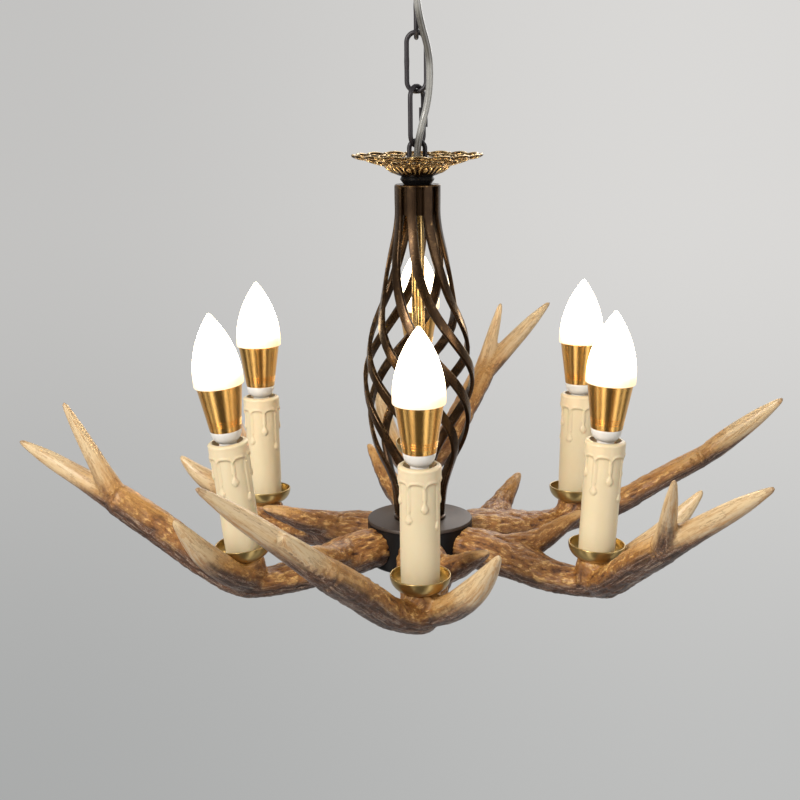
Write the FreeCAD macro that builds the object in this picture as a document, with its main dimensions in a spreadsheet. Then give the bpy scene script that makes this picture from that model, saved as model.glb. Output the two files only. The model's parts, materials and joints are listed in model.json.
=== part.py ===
import FreeCAD, Part

import math
import os

import Sketcher
from FreeCAD import Placement, Rotation, Vector

# Six-light antler chandelier on a short chain, in millimetres.
# The origin is the middle of the ceiling face, +Z is up, and the front arm points along -Y.

SIZES = {
    # ceiling bracket, canopy and its loop
    "bracket_length": 96.0,
    "bracket_width": 18.0,
    "bracket_thickness": 2.0,
    "slot_spacing": 48.0,
    "slot_length": 12.0,
    "slot_width": 5.0,
    "canopy_radius": 55.0,
    "canopy_depth": 28.0,
    "canopy_wall": 1.0,
    "canopy_edge_radius": 9.0,
    "canopy_screw_offset": 38.0,
    "canopy_screw_radius": 2.0,
    "cap_nut_radius": 5.0,
    "cap_nut_height": 7.0,
    "loop_drop": 17.0,
    "loop_stem_radius": 4.0,
    "loop_collar_radius": 8.0,
    "loop_collar_height": 4.0,
    "locknut_radius": 8.0,
    "locknut_height": 3.0,
    # cord and the grip that holds it in the canopy
    "cord_diameter": 5.0,
    "cord_grip_offset": 22.0,
    "cord_grip_drop": 12.0,
    "cord_grip_radius": 5.2,
    # chain
    "wire_diameter": 3.5,
    "link_length": 45.0,
    "link_width": 17.5,
    "quick_link_length": 46.0,
    "quick_link_width": 19.5,
    "quick_link_turn": 54.0,
    "lower_link_turn": -4.0,
    "fixture_loop_turn": -8.0,
    "link_sleeve_radius": 3.1,
    "link_sleeve_height": 14.0,
    "loop_width": 15.0,
    "chain_gap": 0.3,
    # heights of the fitting, down from the pivot of the last link
    "collar_drop": 10.0,
    "collar_height": 5.0,
    "collar_radius": 11.5,
    "cord_entry_offset": 7.0,
    "rim_drop": 8.0,
    "cage_top_drop": 29.5,
    "hub_drop": 283.0,
    # filigree plate, petal bowl and neck
    "plate_radius": 48.5,
    "plate_sheet": 1.2,
    "plate_fall": 7.0,
    "plate_lobes": 16.0,
    "plate_hole_radius": 2.6,
    "bowl_radius": 25.0,
    "bowl_height": 10.0,
    "neck_radius": 12.7,
    "neck_foot_radius": 10.0,
    "neck_height": 3.5,
    # twisted cage
    "bar_count": 8.0,
    "bar_width": 7.0,
    "bar_thickness": 3.2,
    "cage_neck_radius": 16.8,
    "cage_cap_height": 1.6,
    "cage_core_height": 22.0,
    "cage_belly_radius": 41.8,
    "cage_foot_radius": 20.0,
    "cage_foot_height": 3.0,
    "cage_twist": 190.0,
    "tube_radius": 4.85,
    "tube_bore": 3.4,
    # hub
    "hub_radius": 40.0,
    "hub_height": 35.0,
    "hub_wall": 2.5,
    "hub_cover_height": 3.0,
    "finial_radius": 8.0,
    "finial_height": 6.0,
    "terminal_radius": 16.0,
    "terminal_height": 19.0,
    # arms
    "arm_count": 6.0,
    "seat_radius": 146.0,
    "arm_axis_drop": 18.0,
    "nipple_radius": 5.0,
    "nipple_bore": 3.3,
    "arm_nipple_end": 62.0,
    "nut_radius": 8.5,
    "nut_height": 4.0,
    "wire_radius": 1.0,
    "cable_bend": 4.5,
    "wire_bend": 6.0,
    "wire_sweep": 60.0,
    "wireway_radius": 3.0,
    "stub_radius": 13.2,
    # cup, candle, lampholder
    "cup_radius": 21.0,
    "candle_seat_clearance": 0.4,
    "cup_height": 11.0,
    "cup_sheet": 1.0,
    "candle_radius": 13.6,
    "candle_cap_thickness": 1.1,
    "candle_cap_height": 16.0,
    "candle_wall": 1.5,
    "candle_height": 87.0,
    "holder_radius": 10.4,
    "holder_height": 74.0,
    "socket_depth": 28.0,
    "seat_nipple_depth": 12.0,
    # bulb, from the foot of the candle upwards
    "cap_radius": 7.0,
    "cap_length": 24.0,
    "collar_bottom": 87.6,
    "collar_mouth_radius": 7.2,
    "collar_rim_radius": 11.0,
    "sink_bottom": 96.5,
    "sink_top": 129.5,
    "sink_top_radius": 16.3,
    "dome_radius": 17.7,
    "dome_height": 51.0,
    "dome_wall": 1.0,
    "dome_tip": 0.8,
    # fits
    "fit_clearance": 0.05,
    "slide_clearance": 0.3,
    "cup_clearance": 0.3,
}

# Each arm: the way it points, how far its cup stands above the common level, and how far
# its candle leans outwards, in degrees.
# Its antler is then given by points of its own frame: out from the axis, sideways (to the
# left, seen from the hub), and up from the top of the hub, then half width and half height.
ARMS = {
    "front": {
        "turn": 270, "cup": 3.0, "lean": 3.0, "lift": 0.0,
        "fork": (222, -57, 31, 11, 11.5), "outer": (271, -127.5, 100.5), "inner": (249, -80, 65),
        "side": (212, 49, 38.5), "brow": (116, 47, 9),
    },
    "front_right": {
        "turn": 330, "cup": 0.0, "lean": 3.7, "lift": -2.0,
        "fork": (218, -58, 26, 12, 11.5), "outer": (297, -88, 85), "inner": (238, -98, 84),
        "side": (210, 40, 39), "brow": (118, 42, 10),
    },
    "back_right": {
        "turn": 30, "cup": 1.0, "lean": 2.0, "lift": 4.0,
        "fork": (224, -66, 32, 12, 8.5), "outer": (262, -112, 83), "inner": (272, -58, 40),
        "side": (206, 36, 36), "brow": (119, 40, 8),
    },
    "back": {
        "turn": 90, "cup": 22.0, "lean": -6.0, "lift": 22.0,
        "fork": (226, -58, 66, 12, 9.5), "outer": (268, -122, 125), "inner": (250, -76, 127),
        "side": (210, 38, 67), "brow": (117, 43, 28),
    },
    "back_left": {
        "turn": 150, "cup": 1.0, "lean": 1.0, "lift": 2.0,
        "fork": (222, -57, 31, 11, 11), "outer": (272, -118, 80), "inner": (262, -62, 86),
        "side": (209, 30, 28.5), "brow": (118, 42, 1),
    },
    "front_left": {
        "turn": 210, "cup": 2.0, "lean": 6.7, "lift": 0.0,
        "fork": (220, -58, 33, 10, 13), "outer": (270, -127, 68), "inner": (249, -79.5, 103.5),
        "side": (210, 31, 38), "brow": (112, 36, 2),
    },
}

# The cord's route, from the collar of the fitting up to its grip: across, towards the back,
# and up from the top of the hub.
CORD_ROUTE = (
    (0, -7, 270),
    (0, -7, 281),
    (3.5, -7, 296),
    (8.2, -6.2, 313),
    (9.8, -5.6, 332),
    (8.4, -7, 350),
    (3.2, -11.2, 367),
    (0.3, -12.8, 384),
    (-0.6, -13, 400),
    (0.2, -17.5, 414),
    (0, -22, 427),
)

# Outer radius of the twisted cage, against the height above the hub's top.
CAGE_DRAWN_HEIGHT = 253.5
CAGE_OUTLINE = (
    (231, 16.8),
    (219, 18.2),
    (205, 21.2),
    (190, 24.4),
    (170, 28.4),
    (145, 36.0),
    (121, 41.3),
    (100, 41.4),
    (78, 39.0),
    (58, 34.2),
    (40, 26.6),
    (24, 21.4),
)

doc = FreeCAD.newDocument("antler_chandelier")
sheet = doc.addObject("Spreadsheet::Sheet", "Sizes")
for row, (alias, number) in enumerate(SIZES.items(), start=1):
    sheet.set(f"A{row}", alias)
    sheet.set(f"B{row}", str(number))
    sheet.setAlias(f"B{row}", alias)
doc.recompute()


class Dim:
    """A size: its number, and the expression that works it out from the sheet."""

    def __init__(self, number, text):
        self.number = number
        self.text = text

    def __add__(self, other):
        other = as_dim(other)
        return Dim(self.number + other.number, f"({self.text} + {other.text})")

    def __sub__(self, other):
        other = as_dim(other)
        return Dim(self.number - other.number, f"({self.text} - {other.text})")

    def __rsub__(self, other):
        return as_dim(other) - self

    def __mul__(self, other):
        other = as_dim(other)
        return Dim(self.number * other.number, f"({self.text} * {other.text})")

    def __neg__(self):
        return Dim(-self.number, f"(0 - {self.text})")


def as_dim(value):
    if isinstance(value, Dim):
        return value
    return Dim(float(value), repr(float(value)))


def size(alias):
    return Dim(sheet.get(alias), f"Sizes.{alias}")


def mm(alias):
    return sheet.get(alias)


def bind(obj, prop, dim):
    obj.setExpression(prop, as_dim(dim).text)


# ---------------------------------------------------------------- making solids


def revolved(name, profile, placement=None):
    """A body turned about its own Z axis from a closed profile of (radius, height) corners.

    A corner may hold a third value: the radius of the arc that runs from it to the next
    corner, positive where the arc bulges to the left of the way there.
    """
    body = doc.addObject("PartDesign::Body", name)
    sketch = body.newObject("Sketcher::SketchObject", name + "_profile")
    plane = next(item for item in body.Origin.OriginFeatures if item.Role == "XZ_Plane")
    sketch.AttachmentSupport = [(plane, "")]
    sketch.MapMode = "FlatFace"
    corners = [(as_dim(corner[0]), as_dim(corner[1])) for corner in profile]
    bends = [corner[2] if len(corner) > 2 else None for corner in profile]
    points = [Vector(radius.number, height.number, 0) for radius, height in corners]
    ends = []
    for index, start in enumerate(points):
        end = points[(index + 1) % len(points)]
        if bends[index] is None:
            sketch.addGeometry(Part.LineSegment(start, end))
            ends.append((1, 2))
        else:
            sketch.addGeometry(profile_arc(start, end, as_dim(bends[index]).number))
            ends.append((2, 1) if as_dim(bends[index]).number > 0 else (1, 2))
    count = len(points)
    for index in range(count):
        following = (index + 1) % count
        sketch.addConstraint(
            Sketcher.Constraint("Coincident", index, ends[index][1], following, ends[following][0])
        )
    for index, (radius, height) in enumerate(corners):
        for kind, dim, axis in (("DistanceX", radius, -2), ("DistanceY", height, -1)):
            if dim.text == "0.0":
                place = Sketcher.Constraint("PointOnObject", index, ends[index][0], axis)
                sketch.addConstraint(place)
                continue
            number = sketch.addConstraint(
                Sketcher.Constraint(kind, -1, 1, index, ends[index][0], dim.number)
            )
            sketch.setExpression(f"Constraints[{number}]", dim.text)
    for index, bend in enumerate(bends):
        if bend is not None:
            dim = as_dim(bend)
            number = sketch.addConstraint(Sketcher.Constraint("Radius", index, abs(dim.number)))
            text = dim.text if dim.number > 0 else f"(0 - {dim.text})"
            sketch.setExpression(f"Constraints[{number}]", text)
    turned = body.newObject("PartDesign::Revolution", name + "_turned")
    turned.Profile = sketch
    turned.ReferenceAxis = (sketch, ["V_Axis"])
    turned.Angle = 360.0
    body.Tip = turned
    if placement is not None:
        body.Placement = placement
    body.Label = name
    return body


def profile_arc(start, end, bend):
    """The arc between two corners; it bulges left of the way there if bend is positive."""
    half = (end - start) * 0.5
    across = Vector(-half.y, half.x, 0).normalize()
    reach = math.sqrt(bend * bend - half.Length ** 2)
    centre = start + half - across * math.copysign(reach, bend)
    circle = Part.Circle(centre, Vector(0, 0, 1), abs(bend))
    if bend > 0:
        start, end = end, start
    first = math.atan2(start.y - centre.y, start.x - centre.x)
    last = math.atan2(end.y - centre.y, end.x - centre.x)
    if last < first:
        last += 2 * math.pi
    return Part.ArcOfCircle(circle, first, last)


def cylinder(name, radius, height, place, direction=Vector(0, 0, 1)):
    item = doc.addObject("Part::Cylinder", name)
    bind(item, "Radius", radius)
    bind(item, "Height", height)
    item.Placement = Placement(place, Rotation(Vector(0, 0, 1), direction))
    return item


def fused(name, pieces):
    item = doc.addObject("Part::MultiFuse", name)
    item.Shapes = pieces
    item.Label = name
    return item


def cut(name, base, tools):
    tool = tools[0]
    if len(tools) > 1:
        tool = doc.addObject("Part::MultiFuse", name + "_tools")
        tool.Shapes = tools
    item = doc.addObject("Part::Cut", name)
    item.Base = base
    item.Tool = tool
    item.Label = name
    return item


def grouped(name, pieces):
    item = doc.addObject("Part::Compound", name)
    item.Links = pieces
    item.Label = name
    return item


def shaped(name, shape):
    item = doc.addObject("Part::Feature", name)
    item.Shape = shape
    item.Label = name
    return item


# ---------------------------------------------------------------- heights

pitch = mm("link_length") - 2 * mm("wire_diameter") - mm("chain_gap")
quick_pitch = mm("quick_link_length") - 2 * mm("wire_diameter") - mm("chain_gap")
pivot_heights = [-mm("canopy_depth") - mm("loop_drop")]
for _ in range(3):
    pivot_heights.append(pivot_heights[-1] - pitch)
pivot_heights.append(pivot_heights[-1] - quick_pitch)
last_pivot = pivot_heights[-1]
hub_top = last_pivot - mm("hub_drop")
cage_top = last_pivot - mm("cage_top_drop")
fit = mm("fit_clearance")


def at_hub(height):
    return Placement(Vector(0, 0, hub_top + height), Rotation())


# ---------------------------------------------------------------- ceiling mount


def ceiling_bracket():
    """The crossbar against the ceiling: two slots for the ceiling screws, three threads."""
    bar = doc.addObject("Part::Box", "bracket_bar")
    bind(bar, "Length", size("bracket_length"))
    bind(bar, "Width", size("bracket_width"))
    bind(bar, "Height", size("bracket_thickness"))
    low = -mm("bracket_thickness")
    bar.Placement = Placement(
        Vector(-mm("bracket_length") / 2, -mm("bracket_width") / 2, low), Rotation()
    )
    tools = []
    for side in (-1, 1):
        middle = side * mm("slot_spacing") / 2
        reach = (mm("slot_length") - mm("slot_width")) / 2
        for end in (-reach, reach):
            place = Vector(middle + end, 0, low - 1)
            tools.append(cylinder("slot_end", size("slot_width") * 0.5, 4, place))
        gap = doc.addObject("Part::Box", "slot_gap")
        bind(gap, "Length", size("slot_length") - size("slot_width"))
        bind(gap, "Width", size("slot_width"))
        gap.Height = 4
        gap.Placement = Placement(
            Vector(middle - reach, -mm("slot_width") / 2, low - 1), Rotation()
        )
        tools.append(gap)
        screw = Vector(side * mm("canopy_screw_offset"), 0, low - 1)
        tools.append(cylinder("post_thread", size("canopy_screw_radius") + fit, 4, screw))
    tools.append(cylinder("stem_thread", size("loop_stem_radius") + fit, 4, Vector(0, 0, low - 1)))
    return cut("ceiling_bracket", bar, tools)


def canopy():
    """The round cover over the bracket, with holes for its screws, the loop and the grip."""
    wall = size("canopy_wall")
    radius = size("canopy_radius")
    depth = size("canopy_depth")
    edge = size("canopy_edge_radius")
    shell = revolved(
        "canopy_shell",
        [
            (0, -depth),
            (radius - edge, -depth, -edge),
            (radius, edge - depth),
            (radius, 0),
            (radius - wall, 0),
            (radius - wall, edge - depth, edge - wall),
            (radius - edge, wall - depth),
            (0, wall - depth),
        ],
    )
    low = -mm("canopy_depth") - 1
    high = 2 + mm("canopy_wall")
    tools = [cylinder("stem_hole", size("loop_stem_radius") + 0.2, high, Vector(0, 0, low))]
    grip_place = Vector(0, -mm("cord_grip_offset"), low)
    tools.append(cylinder("grip_hole", size("cord_grip_radius") - 1 + fit, high, grip_place))
    for side in (-1, 1):
        place = Vector(side * mm("canopy_screw_offset"), 0, low)
        tools.append(cylinder("post_hole", size("canopy_screw_radius") + 0.2, high, place))
    return cut("canopy", shell, tools)


def canopy_fasteners():
    """Two long screws, each with a domed cap nut under the canopy, and the loop's locknut."""
    pieces = []
    for side in (-1, 1):
        place = Vector(side * mm("canopy_screw_offset"), 0, -mm("canopy_depth") - 4)
        shank = cylinder(
            "post", size("canopy_screw_radius"), size("canopy_depth") + 3.5, place
        )
        nut = revolved(
            "cap_nut",
            [
                (0, -size("cap_nut_height")),
                (1.5, -size("cap_nut_height"), -4.5),
                (size("cap_nut_radius"), -size("cap_nut_height") * 0.45),
                (size("cap_nut_radius"), 0),
                (0, 0),
            ],
            Placement(Vector(place.x, 0, -mm("canopy_depth")), Rotation()),
        )
        pieces.append(fused("canopy_screw", [shank, nut]))
    pieces.append(loop_locknut())
    return grouped("canopy_fasteners", pieces)


def bow(name, radius, place, turn, upper):
    """Half a ring of chain wire that closes a link or a loop at its top or bottom."""
    ring = doc.addObject("Part::Torus", name)
    bind(ring, "Radius1", radius)
    bind(ring, "Radius2", size("wire_diameter") * 0.5)
    ring.Angle3 = 180.0
    flip = Rotation(Vector(1, 0, 0), 90 if upper else -90)
    ring.Placement = Placement(place, Rotation(Vector(0, 0, 1), turn) * flip)
    return ring


def leg_places(width, turn):
    """The middles of a link's two legs, in plan."""
    half = (width - mm("wire_diameter")) / 2
    way = Rotation(Vector(0, 0, 1), turn).multVec(Vector(half, 0, 0))
    return way, way * -1


def chain_link(name, top_pivot, length, width, turn):
    """One oval link that hangs from the pivot above it, turned about the vertical."""
    wire = mm("wire_diameter")
    rise = wire / 2 + mm("chain_gap") / 2
    high = top_pivot + rise
    ring = (size(width) - size("wire_diameter")) * 0.5
    reach = (mm(width) - wire) / 2
    low = high - (mm(length) - wire)
    pieces = [
        bow(name + "_top", ring, Vector(0, 0, high - reach), turn, True),
        bow(name + "_bottom", ring, Vector(0, 0, low + reach), turn, False),
    ]
    straight = size(length) - size(width)
    for side, middle in enumerate(leg_places(mm(width), turn)):
        place = middle + Vector(0, 0, low + reach)
        pieces.append(
            cylinder(f"{name}_leg{side}", size("wire_diameter") * 0.5, straight, place)
        )
    return fused(name, pieces)


def hanging_loop(name, pivot, turn, upward, foot):
    """A loop of chain wire that stands on its collar, above or below a pivot."""
    wire = mm("wire_diameter")
    ring = (size("loop_width") - size("wire_diameter")) * 0.5
    reach = (mm("loop_width") - wire) / 2
    sign = 1 if upward else -1
    crown = pivot + sign * (wire / 2 + mm("chain_gap") / 2 - reach)
    pieces = [bow(name + "_bow", ring, Vector(0, 0, crown), turn, upward)]
    for side, middle in enumerate(leg_places(mm("loop_width"), turn)):
        low = min(crown, foot)
        leg = cylinder(
            f"{name}_leg{side}", size("wire_diameter") * 0.5, abs(crown - foot),
            middle + Vector(0, 0, low),
        )
        pieces.append(leg)
    return pieces


def canopy_loop():
    """The loop under the canopy, with its collar, its threaded stem and a locknut."""
    foot = -mm("canopy_depth") - mm("loop_collar_height") / 2
    pieces = hanging_loop("canopy_loop_wire", pivot_heights[0], 90, False, foot)
    collar = cylinder(
        "loop_collar", size("loop_collar_radius"), size("loop_collar_height"),
        Vector(0, 0, -mm("canopy_depth") - mm("loop_collar_height")),
    )
    stem = cylinder(
        "loop_stem", size("loop_stem_radius"), size("canopy_depth") - 0.5,
        Vector(0, 0, -mm("canopy_depth")),
    )
    return fused("canopy_loop", pieces + [collar, stem])


def loop_locknut():
    low = -mm("bracket_thickness") - mm("locknut_height")
    outer = doc.addObject("Part::Prism", "locknut_blank")
    outer.Polygon = 6
    bind(outer, "Circumradius", size("locknut_radius"))
    bind(outer, "Height", size("locknut_height"))
    outer.Placement = Placement(Vector(0, 0, low), Rotation())
    bore = cylinder("locknut_bore", size("loop_stem_radius") + fit, 6, Vector(0, 0, low - 1))
    return cut("loop_locknut", outer, [bore])


def cord_grip():
    """The nylon grip in the canopy that the cord comes out of."""
    drop = size("cord_grip_drop")
    depth = size("canopy_depth")
    radius = size("cord_grip_radius")
    entry = size("cord_diameter") * 0.5
    return revolved(
        "cord_grip",
        [
            (0, -depth - drop),
            (entry + 1, -depth - drop),
            (radius, -depth - 5),
            (radius, -depth),
            (radius - 1, -depth),
            (radius - 1, 3 - depth),
            (0, 3 - depth),
        ],
        Placement(Vector(0, -mm("cord_grip_offset"), 0), Rotation()),
    )


# ---------------------------------------------------------------- chain


def link_sleeve():
    """The threaded sleeve on the quick link's rear leg."""
    leg = leg_places(mm("quick_link_width"), mm("quick_link_turn"))[0]
    low = (pivot_heights[3] + last_pivot) / 2 - mm("link_sleeve_height") / 2 - 1
    place = Vector(leg.x, leg.y, low)
    blank = doc.addObject("Part::Prism", "sleeve_blank")
    blank.Polygon = 6
    bind(blank, "Circumradius", size("link_sleeve_radius"))
    bind(blank, "Height", size("link_sleeve_height"))
    blank.Placement = Placement(place, Rotation())
    bore = cylinder(
        "sleeve_bore", size("wire_diameter") * 0.5 + fit, size("link_sleeve_height") + 2,
        place - Vector(0, 0, 1),
    )
    return cut("quick_link_sleeve", blank, [bore])


def fixture_loop():
    """The loop on top of the fitting: wire, drilled collar and threaded stem."""
    top = last_pivot - mm("collar_drop")
    foot = top - mm("collar_height") / 2
    pieces = hanging_loop(
        "fixture_loop_wire", last_pivot, mm("fixture_loop_turn"), True, foot
    )
    collar = cylinder(
        "fixture_collar", size("collar_radius"), size("collar_height"),
        Vector(0, 0, top - mm("collar_height")),
    )
    stem_low = cage_top - mm("cage_cap_height") - 4
    stem = cylinder(
        "fixture_stem", size("tube_bore") - fit,
        size("cage_top_drop") - size("collar_drop") + size("cage_cap_height") + 4 - 2,
        Vector(0, 0, stem_low),
    )
    blank = fused("fixture_loop_blank", pieces + [collar, stem])
    bore = cylinder(
        "cord_bore", size("cord_diameter") * 0.5 + 0.1, 12,
        Vector(0, -mm("cord_entry_offset"), top - 8),
    )
    return cut("fixture_loop", blank, [bore])


def cord():
    """The clear twin cord, from the fitting's collar to its grip: straight runs and arcs."""
    corners = [Vector(x, y, hub_top + z) for x, y, z in CORD_ROUTE]
    corners.append(
        Vector(0, -mm("cord_grip_offset"), -mm("canopy_depth") - mm("cord_grip_drop"))
    )
    path, length = rounded_path(corners, "cord")
    section = mm("cord_diameter") / 2
    return shaped("cord", tube_along(path, length, section, corners[0], corners[1]))


def rounded_path(corners, name, bends=None):
    """A wire through corners, straight runs joined by tangent arcs, and its length."""
    edges = []
    start = corners[0]
    radii = []
    bends = bends or [None] * (len(corners) - 2)
    for before, corner, after, bend in zip(corners, corners[1:], corners[2:], bends):
        way_in = (corner - before).normalize()
        way_out = (after - corner).normalize()
        turn = way_in.getAngle(way_out)
        run = min((corner - before).Length, (after - corner).Length)
        radius = bend or 0.45 * run / math.tan(turn / 2)
        back = radius * math.tan(turn / 2)
        first = corner - way_in * back
        last = corner + way_out * back
        inward = (way_out - way_in).normalize()
        centre = corner + inward * (radius / math.cos(turn / 2))
        middle = centre - inward * radius
        edges.append(Part.LineSegment(start, first).toShape())
        edges.append(Part.Arc(first, middle, last).toShape())
        start = last
        radii.append(round(radius, 1))
    edges.append(Part.LineSegment(start, corners[-1]).toShape())
    length = sum(edge.Length for edge in edges)
    print(f"{name}: length {length:.1f} mm, arc radii {radii}")
    return Part.Wire(edges), length


def tube_along(path, length, radius, start, following):
    circle = Part.Circle(start, following - start, radius).toShape()
    tube = path.makePipeShell([Part.Wire([circle])], True, True)
    expected = math.pi * radius ** 2 * length
    if abs(tube.Volume - expected) > 0.02 * expected:
        raise ValueError(f"the tube holds {tube.Volume:.0f}, not {expected:.0f}")
    return tube


# ---------------------------------------------------------------- plate, bowl and neck


def polar(count):
    """The turns of a ring of evenly spaced places, in degrees."""
    return [360.0 * index / count for index in range(int(count))]


def around(radius, turn, height):
    angle = math.radians(turn)
    return Vector(radius * math.cos(angle), radius * math.sin(angle), height)


def filigree_plate():
    """The pierced brass saucer: a shallow dish with a lobed edge and two rings of holes."""
    top = -size("rim_drop")
    fall = size("plate_fall")
    sheet_high = size("plate_sheet")
    inner = size("bowl_radius") - 1
    outer = size("plate_radius")
    dish = revolved(
        "plate_dish",
        [
            (inner, top - fall),
            (outer - 12, top - fall * 0.35),
            (outer, top - sheet_high),
            (outer, top),
            (outer - 12, top - fall * 0.35 + sheet_high),
            (inner, top - fall + sheet_high),
        ],
        Placement(Vector(0, 0, last_pivot), Rotation()),
    )
    tools = []
    lobes = mm("plate_lobes")
    low = last_pivot - mm("rim_drop") - mm("plate_fall") - 2
    for turn in polar(lobes):
        half_step = turn + 180.0 / lobes
        notch = around(mm("plate_radius") + 1.2, half_step, low)
        tools.append(cylinder("lobe_notch", size("plate_hole_radius"), 14, notch))
        wide = around(mm("plate_radius") - 6.5, turn, low)
        tools.append(cylinder("outer_hole", size("plate_hole_radius"), 14, wide))
        near = around(mm("plate_radius") - 15.5, half_step, low)
        tools.append(cylinder("inner_hole", size("plate_hole_radius") * 0.85, 14, near))
    return cut("filigree_plate", dish, tools)


def petal_bowl():
    """The small bowl under the plate."""
    top = -(size("rim_drop") + size("plate_fall"))
    rim = size("bowl_radius")
    foot = size("neck_radius") - 2
    low = top - size("bowl_height") + size("plate_sheet")
    sheet_high = size("plate_sheet")
    return revolved(
        "petal_bowl",
        [
            (size("tube_radius") + fit, low),
            (foot, low, -22),
            (rim, top),
            (rim - 2.4, top, 20),
            (foot, low + sheet_high),
            (size("tube_radius") + fit, low + sheet_high),
        ],
        Placement(Vector(0, 0, last_pivot), Rotation()),
    )


def neck_cone():
    """The dark neck between the bowl and the cage."""
    low = -size("cage_top_drop")
    high = -(size("rim_drop") + size("plate_fall") + size("bowl_height") - size("plate_sheet"))
    bore = size("tube_radius") + fit
    return revolved(
        "neck_cone",
        [
            (bore, low),
            (size("neck_foot_radius"), low),
            (size("neck_radius"), low + size("neck_height")),
            (size("neck_radius") - 1, high),
            (bore, high),
        ],
        Placement(Vector(0, 0, last_pivot), Rotation()),
    )


# ---------------------------------------------------------------- cage


def cage_cap():
    """The disc and core that the upper ends of the bars are welded to."""
    radius = size("cage_neck_radius")
    core = radius - size("bar_thickness") + 0.2
    low = -size("cage_core_height")
    bore = size("tube_radius") + fit
    return revolved(
        "cage_cap",
        [
            (bore, -size("cage_cap_height") - 1),
            (core - 1.5, -size("cage_cap_height") - 1),
            (core - 1.5, low),
            (core, low),
            (core, -size("cage_cap_height")),
            (radius, -size("cage_cap_height")),
            (radius, 0),
            (bore, 0),
        ],
        Placement(Vector(0, 0, cage_top), Rotation()),
    )


def cage_foot():
    radius = size("cage_foot_radius")
    height = size("cage_foot_height")
    bore = size("tube_radius") + fit
    return revolved(
        "cage_foot",
        [(bore, 0), (radius, 0), (radius, height * 0.7), (radius - 1, height), (bore, height)],
        at_hub(0),
    )


def cage_bars():
    """The flat bars: straight at the neck, then swollen to a belly and twisted."""
    high = cage_top - hub_top - mm("cage_cap_height") / 2
    low = mm("cage_foot_height") / 2
    rise = (cage_top - hub_top) / CAGE_DRAWN_HEIGHT
    straight_end = CAGE_OUTLINE[0][0] * rise
    swell = mm("cage_belly_radius") / 41.8
    outline = [(high, mm("cage_neck_radius"))]
    outline += [(height * rise, radius * swell) for height, radius in CAGE_OUTLINE[1:]]
    outline.insert(1, (straight_end, mm("cage_neck_radius")))
    outline.append((low, mm("cage_foot_radius") - 1.2))
    middles = []
    for height, radius in outline:
        share = max(0.0, (straight_end - height) / (straight_end - low))
        wave = 0.6 * math.sin(2 * math.pi * share) / (2 * math.pi)
        turn = mm("cage_twist") * (share - wave)
        middles.append(around(radius - mm("bar_thickness") / 2, turn, height))
    sections = []
    half_width = mm("bar_width") / 2
    half_thick = mm("bar_thickness") / 2
    for index, middle in enumerate(middles):
        before = middles[max(index - 1, 0)]
        after = middles[min(index + 1, len(middles) - 1)]
        along = (after - before).normalize()
        if index in (0, 1, len(middles) - 1):
            along = Vector(0, 0, -1)
        outward = Vector(middle.x, middle.y, 0)
        outward = (outward - along * outward.dot(along)).normalize()
        across = along.cross(outward)
        corners = []
        for wide, thick in ((-1, -1), (1, -1), (1, 1), (-1, 1)):
            shift = across * (wide * half_width) + outward * (thick * half_thick)
            corners.append(middle + shift)
        sections.append(Part.makePolygon(corners + corners[:1]))
    bar = Part.makeLoft(sections, True, False)
    first_turn = 279.0 - mm("cage_twist") * 0.135
    bars = []
    for turn in polar(mm("bar_count")):
        copy = bar.copy()
        copy.Placement = Placement(
            Vector(0, 0, hub_top), Rotation(Vector(0, 0, 1), first_turn + turn)
        )
        bars.append(copy)
    return shaped("cage_bars", Part.makeCompound(bars))


def twisted_cage():
    """The cage as it is welded up: cap, bars and foot."""
    return fused("twisted_cage", [cage_cap(), cage_bars(), cage_foot()])


def centre_tube():
    """The threaded brass tube that ties the fitting together and carries the cable."""
    low = -mm("hub_height") - 2
    high = cage_top - hub_top
    outer = cylinder("tube_outer", size("tube_radius"), high - low, Vector(0, 0, hub_top + low))
    bore = cylinder("tube_hole", size("tube_bore"), high - low + 2, Vector(0, 0, hub_top + low + 2))
    window = cylinder(
        "tube_window", 2.4, 8, Vector(0, 0, hub_top - 24), Vector(0, 1, 0)
    )
    return cut("centre_tube", outer, [bore, window])


def main_cable():
    """The cable inside the tube, which turns out through the window to the terminal ring."""
    corners = [
        Vector(0, 0, cage_top - mm("cage_cap_height") - 4.5),
        Vector(0, 0, hub_top - 24),
        Vector(0, mm("tube_radius") + fit, hub_top - 24),
    ]
    path, length = rounded_path(corners, "main_cable", bends=[mm("cable_bend")] * (len(corners) - 2))
    return shaped("main_cable", tube_along(path, length, 1.8, corners[0], corners[1]))


# ---------------------------------------------------------------- hub


def hub_cover():
    radius = size("hub_radius")
    bore = size("tube_radius") + fit
    low = -size("hub_cover_height")
    return revolved(
        "hub_cover",
        [(bore, low), (radius - 0.8, low), (radius, low + 0.8), (radius, -1), (radius - 1, 0), (bore, 0)],
        at_hub(0),
    )


def hub_drum():
    """The drum under the cover, with six holes for the arms' threaded tubes."""
    radius = size("hub_radius")
    wall = size("hub_wall")
    low = -size("hub_height")
    top = -size("hub_cover_height")
    bore = size("tube_radius") + fit
    shell = revolved(
        "hub_shell",
        [
            (bore, low),
            (radius - 3, low),
            (radius, low + 3),
            (radius, top),
            (radius - wall, top),
            (radius - wall, low + 2),
            (bore, low + 2),
        ],
        at_hub(0),
    )
    tools = []
    for arm in ARMS.values():
        place = around(20, arm["turn"], hub_top - mm("arm_axis_drop"))
        hole = cylinder(
            "arm_hole", size("nipple_radius") + fit, 40, place, around(1, arm["turn"], 0)
        )
        tools.append(hole)
    return cut("hub_drum", shell, tools)


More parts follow.
